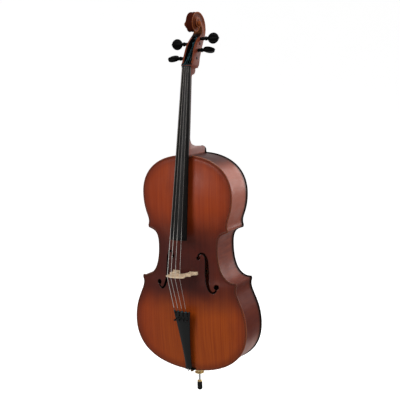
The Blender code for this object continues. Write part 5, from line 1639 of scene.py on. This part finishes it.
# Turned outlines, as radius and place along the axis. The plug has a groove for the tail cord.
PLUG = ((BORE, PLUG_TOP), (0.0104, PLUG_TOP), (0.0110, PLUG_TOP - 0.0006), (0.0125, 0.0952))
PLUG += ((0.0131, 0.0952), (0.0135, 0.0948), (0.0135, 0.0926), (0.0131, 0.0920), (0.0112, 0.0912))
PLUG += ((0.0110, 0.0900), (0.0110, 0.0875), (0.0113, 0.0866), (0.0132, 0.0859), (0.0135, 0.0852))
PLUG += ((0.0133, 0.0830), (0.0128, COLLAR_TOP + 0.0003), (BORE, COLLAR_TOP + 0.0003))
COLLAR = ((BORE, COLLAR_TOP), (0.0108, COLLAR_TOP), (0.0112, COLLAR_TOP - 0.0004), (0.0112, 0.0688))
COLLAR += ((0.0116, 0.0680), (0.0159, 0.0670), (0.0163, 0.0667), (COLLAR_RADIUS, 0.0661))
COLLAR += ((COLLAR_RADIUS, 0.0636), (0.0163, 0.0627), (0.0157, 0.0620), (0.0148, COLLAR_BOTTOM))
COLLAR += ((0.0062, COLLAR_BOTTOM), (0.0052, 0.0624), (BORE, 0.0628))
THUMB_STEM = ((0, 0.0314), (0.0030, 0.0313), (0.0036, 0.0309), (0.0036, 0.0214), (0.0026, 0.0205))
THUMB_STEM += ((0.0018, 0.0190), (0.0018, 0.0056), (0, 0.0050))
ROD = ((0, 0.0125), (ROD_RADIUS - 0.0003, 0.0125), (ROD_RADIUS, 0.0128), (ROD_RADIUS, ROD_TOP - 0.0008))
ROD += ((ROD_RADIUS - 0.0008, ROD_TOP), (0, ROD_TOP))
FERRULE = ((SOCKET_RADIUS, FERRULE_TOP), (0.0066, FERRULE_TOP), (0.0072, FERRULE_TOP - 0.0003))
FERRULE += ((0.0085, FERRULE_TOP - 0.0014), (0.0086, FERRULE_TOP - 0.0020), (0.0086, 0.0318))
FERRULE += ((0.0083, 0.0315), (0.0083, 0.0310), (0.0086, 0.0307), (0.0086, TIP_TOP + 0.0006))
FERRULE += ((0.0083, TIP_TOP + 0.0003), (SOCKET_RADIUS, TIP_TOP + 0.0003))
TIP = ((0, TIP_SOCKET), (SOCKET_RADIUS, TIP_SOCKET), (SOCKET_RADIUS, TIP_TOP), (0.0082, TIP_TOP))
TIP += ((0.0086, TIP_TOP - 0.0004), (0.0088, 0.0258), (0.0092, 0.0242), (0.0092, 0.0204))
TIP += ((0.0089, 0.0200), (0.0089, 0.0190), (0.0092, 0.0186), (0.0092, 0.0048), (0.0089, 0.0026))
TIP += ((0.0082, 0.0010), (0.0070, 0.0), (0, 0.0))


def make_endpin():
    """The plug, the collar with its thumbscrew, and the rod with its ferrule and rubber tip."""
    gold = SLOTS["gold_plate"]
    node_look("endpin_plug", lathe(PLUG, 48), "ebony")
    collar = mesh_piece("endpin_collar_look", lathe(COLLAR, 56), gold)
    centre = Vector((0, 0, THUMB_Z))
    outwards = Vector((math.cos(THUMB_AZIMUTH), math.sin(THUMB_AZIMUTH), 0))
    cut(collar, rod("thumb_bore", centre, centre + outwards * 0.03, THUMB_BORE, gold))
    shade_again(collar, 0.4)
    stand_for(collar, "body", "endpin_collar")
    knob = knurled("thumb_knob", 0.0063, 0.0220, 0.0310, 22, 0.0005, 0.0006, gold)
    screw = join("endpin_thumbscrew_look", [knob, mesh_piece("thumb_stem", lathe(THUMB_STEM, 28), gold)])
    screw.data.transform(anchored(centre, centre + outwards))
    stand_for(screw, "thumbscrew", "endpin_thumbscrew")
    node_look("endpin_rod", lathe(ROD, 40), "steel_rod", 0.7, "endpin")
    node_look("tip_ferrule", lathe(FERRULE, 44), "gold_plate", 0.4, "endpin")
    node_look("rubber_tip", lathe(TIP, 44), "rubber", 0.5, "endpin")


# ---------------------------------------------------------------- assembly
def dress_cad_nodes():
    """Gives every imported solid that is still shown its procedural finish."""
    for node in NODES.values():
        for slot in node.material_slots:
            name = slot.material.name.split(".")[0]
            if name in SLOTS:
                slot.material = SLOTS[name]


def build():
    """Every piece, from the plates to the endpin."""
    dress_cad_nodes()
    neck_notch = ((-0.0223, BODY_TOP - 0.0051), (0.0223, BODY_TOP + 0.03))
    saddle_notch = ((-0.0183, BODY_BOTTOM - 0.03), (0.0183, 0.1013))
    holes = [f_hole(1), f_hole(-1)]
    top = make_plate("top_plate_look", -1, SLOTS["spruce_varnish"], holes, [neck_notch, saddle_notch])
    stand_for(top, "body", "top_plate")
    back = make_plate("back_plate_look", 1, SLOTS["back_varnish"], button=True)
    stand_for(back, "body", "back_plate")
    for side, word in ((-1, "bass"), (1, "treble")):
        for bout in RIB_STRETCHES:
            make_rib(bout, side, word)
    make_board()
    make_nut()
    make_neck()
    for row in PEGS:
        make_peg(*row)
    make_bridge()
    make_strings()
    make_tailpiece()
    make_tuners()
    make_saddle()
    make_cord()
    make_endpin()


make_camera()
make_stage()
build()
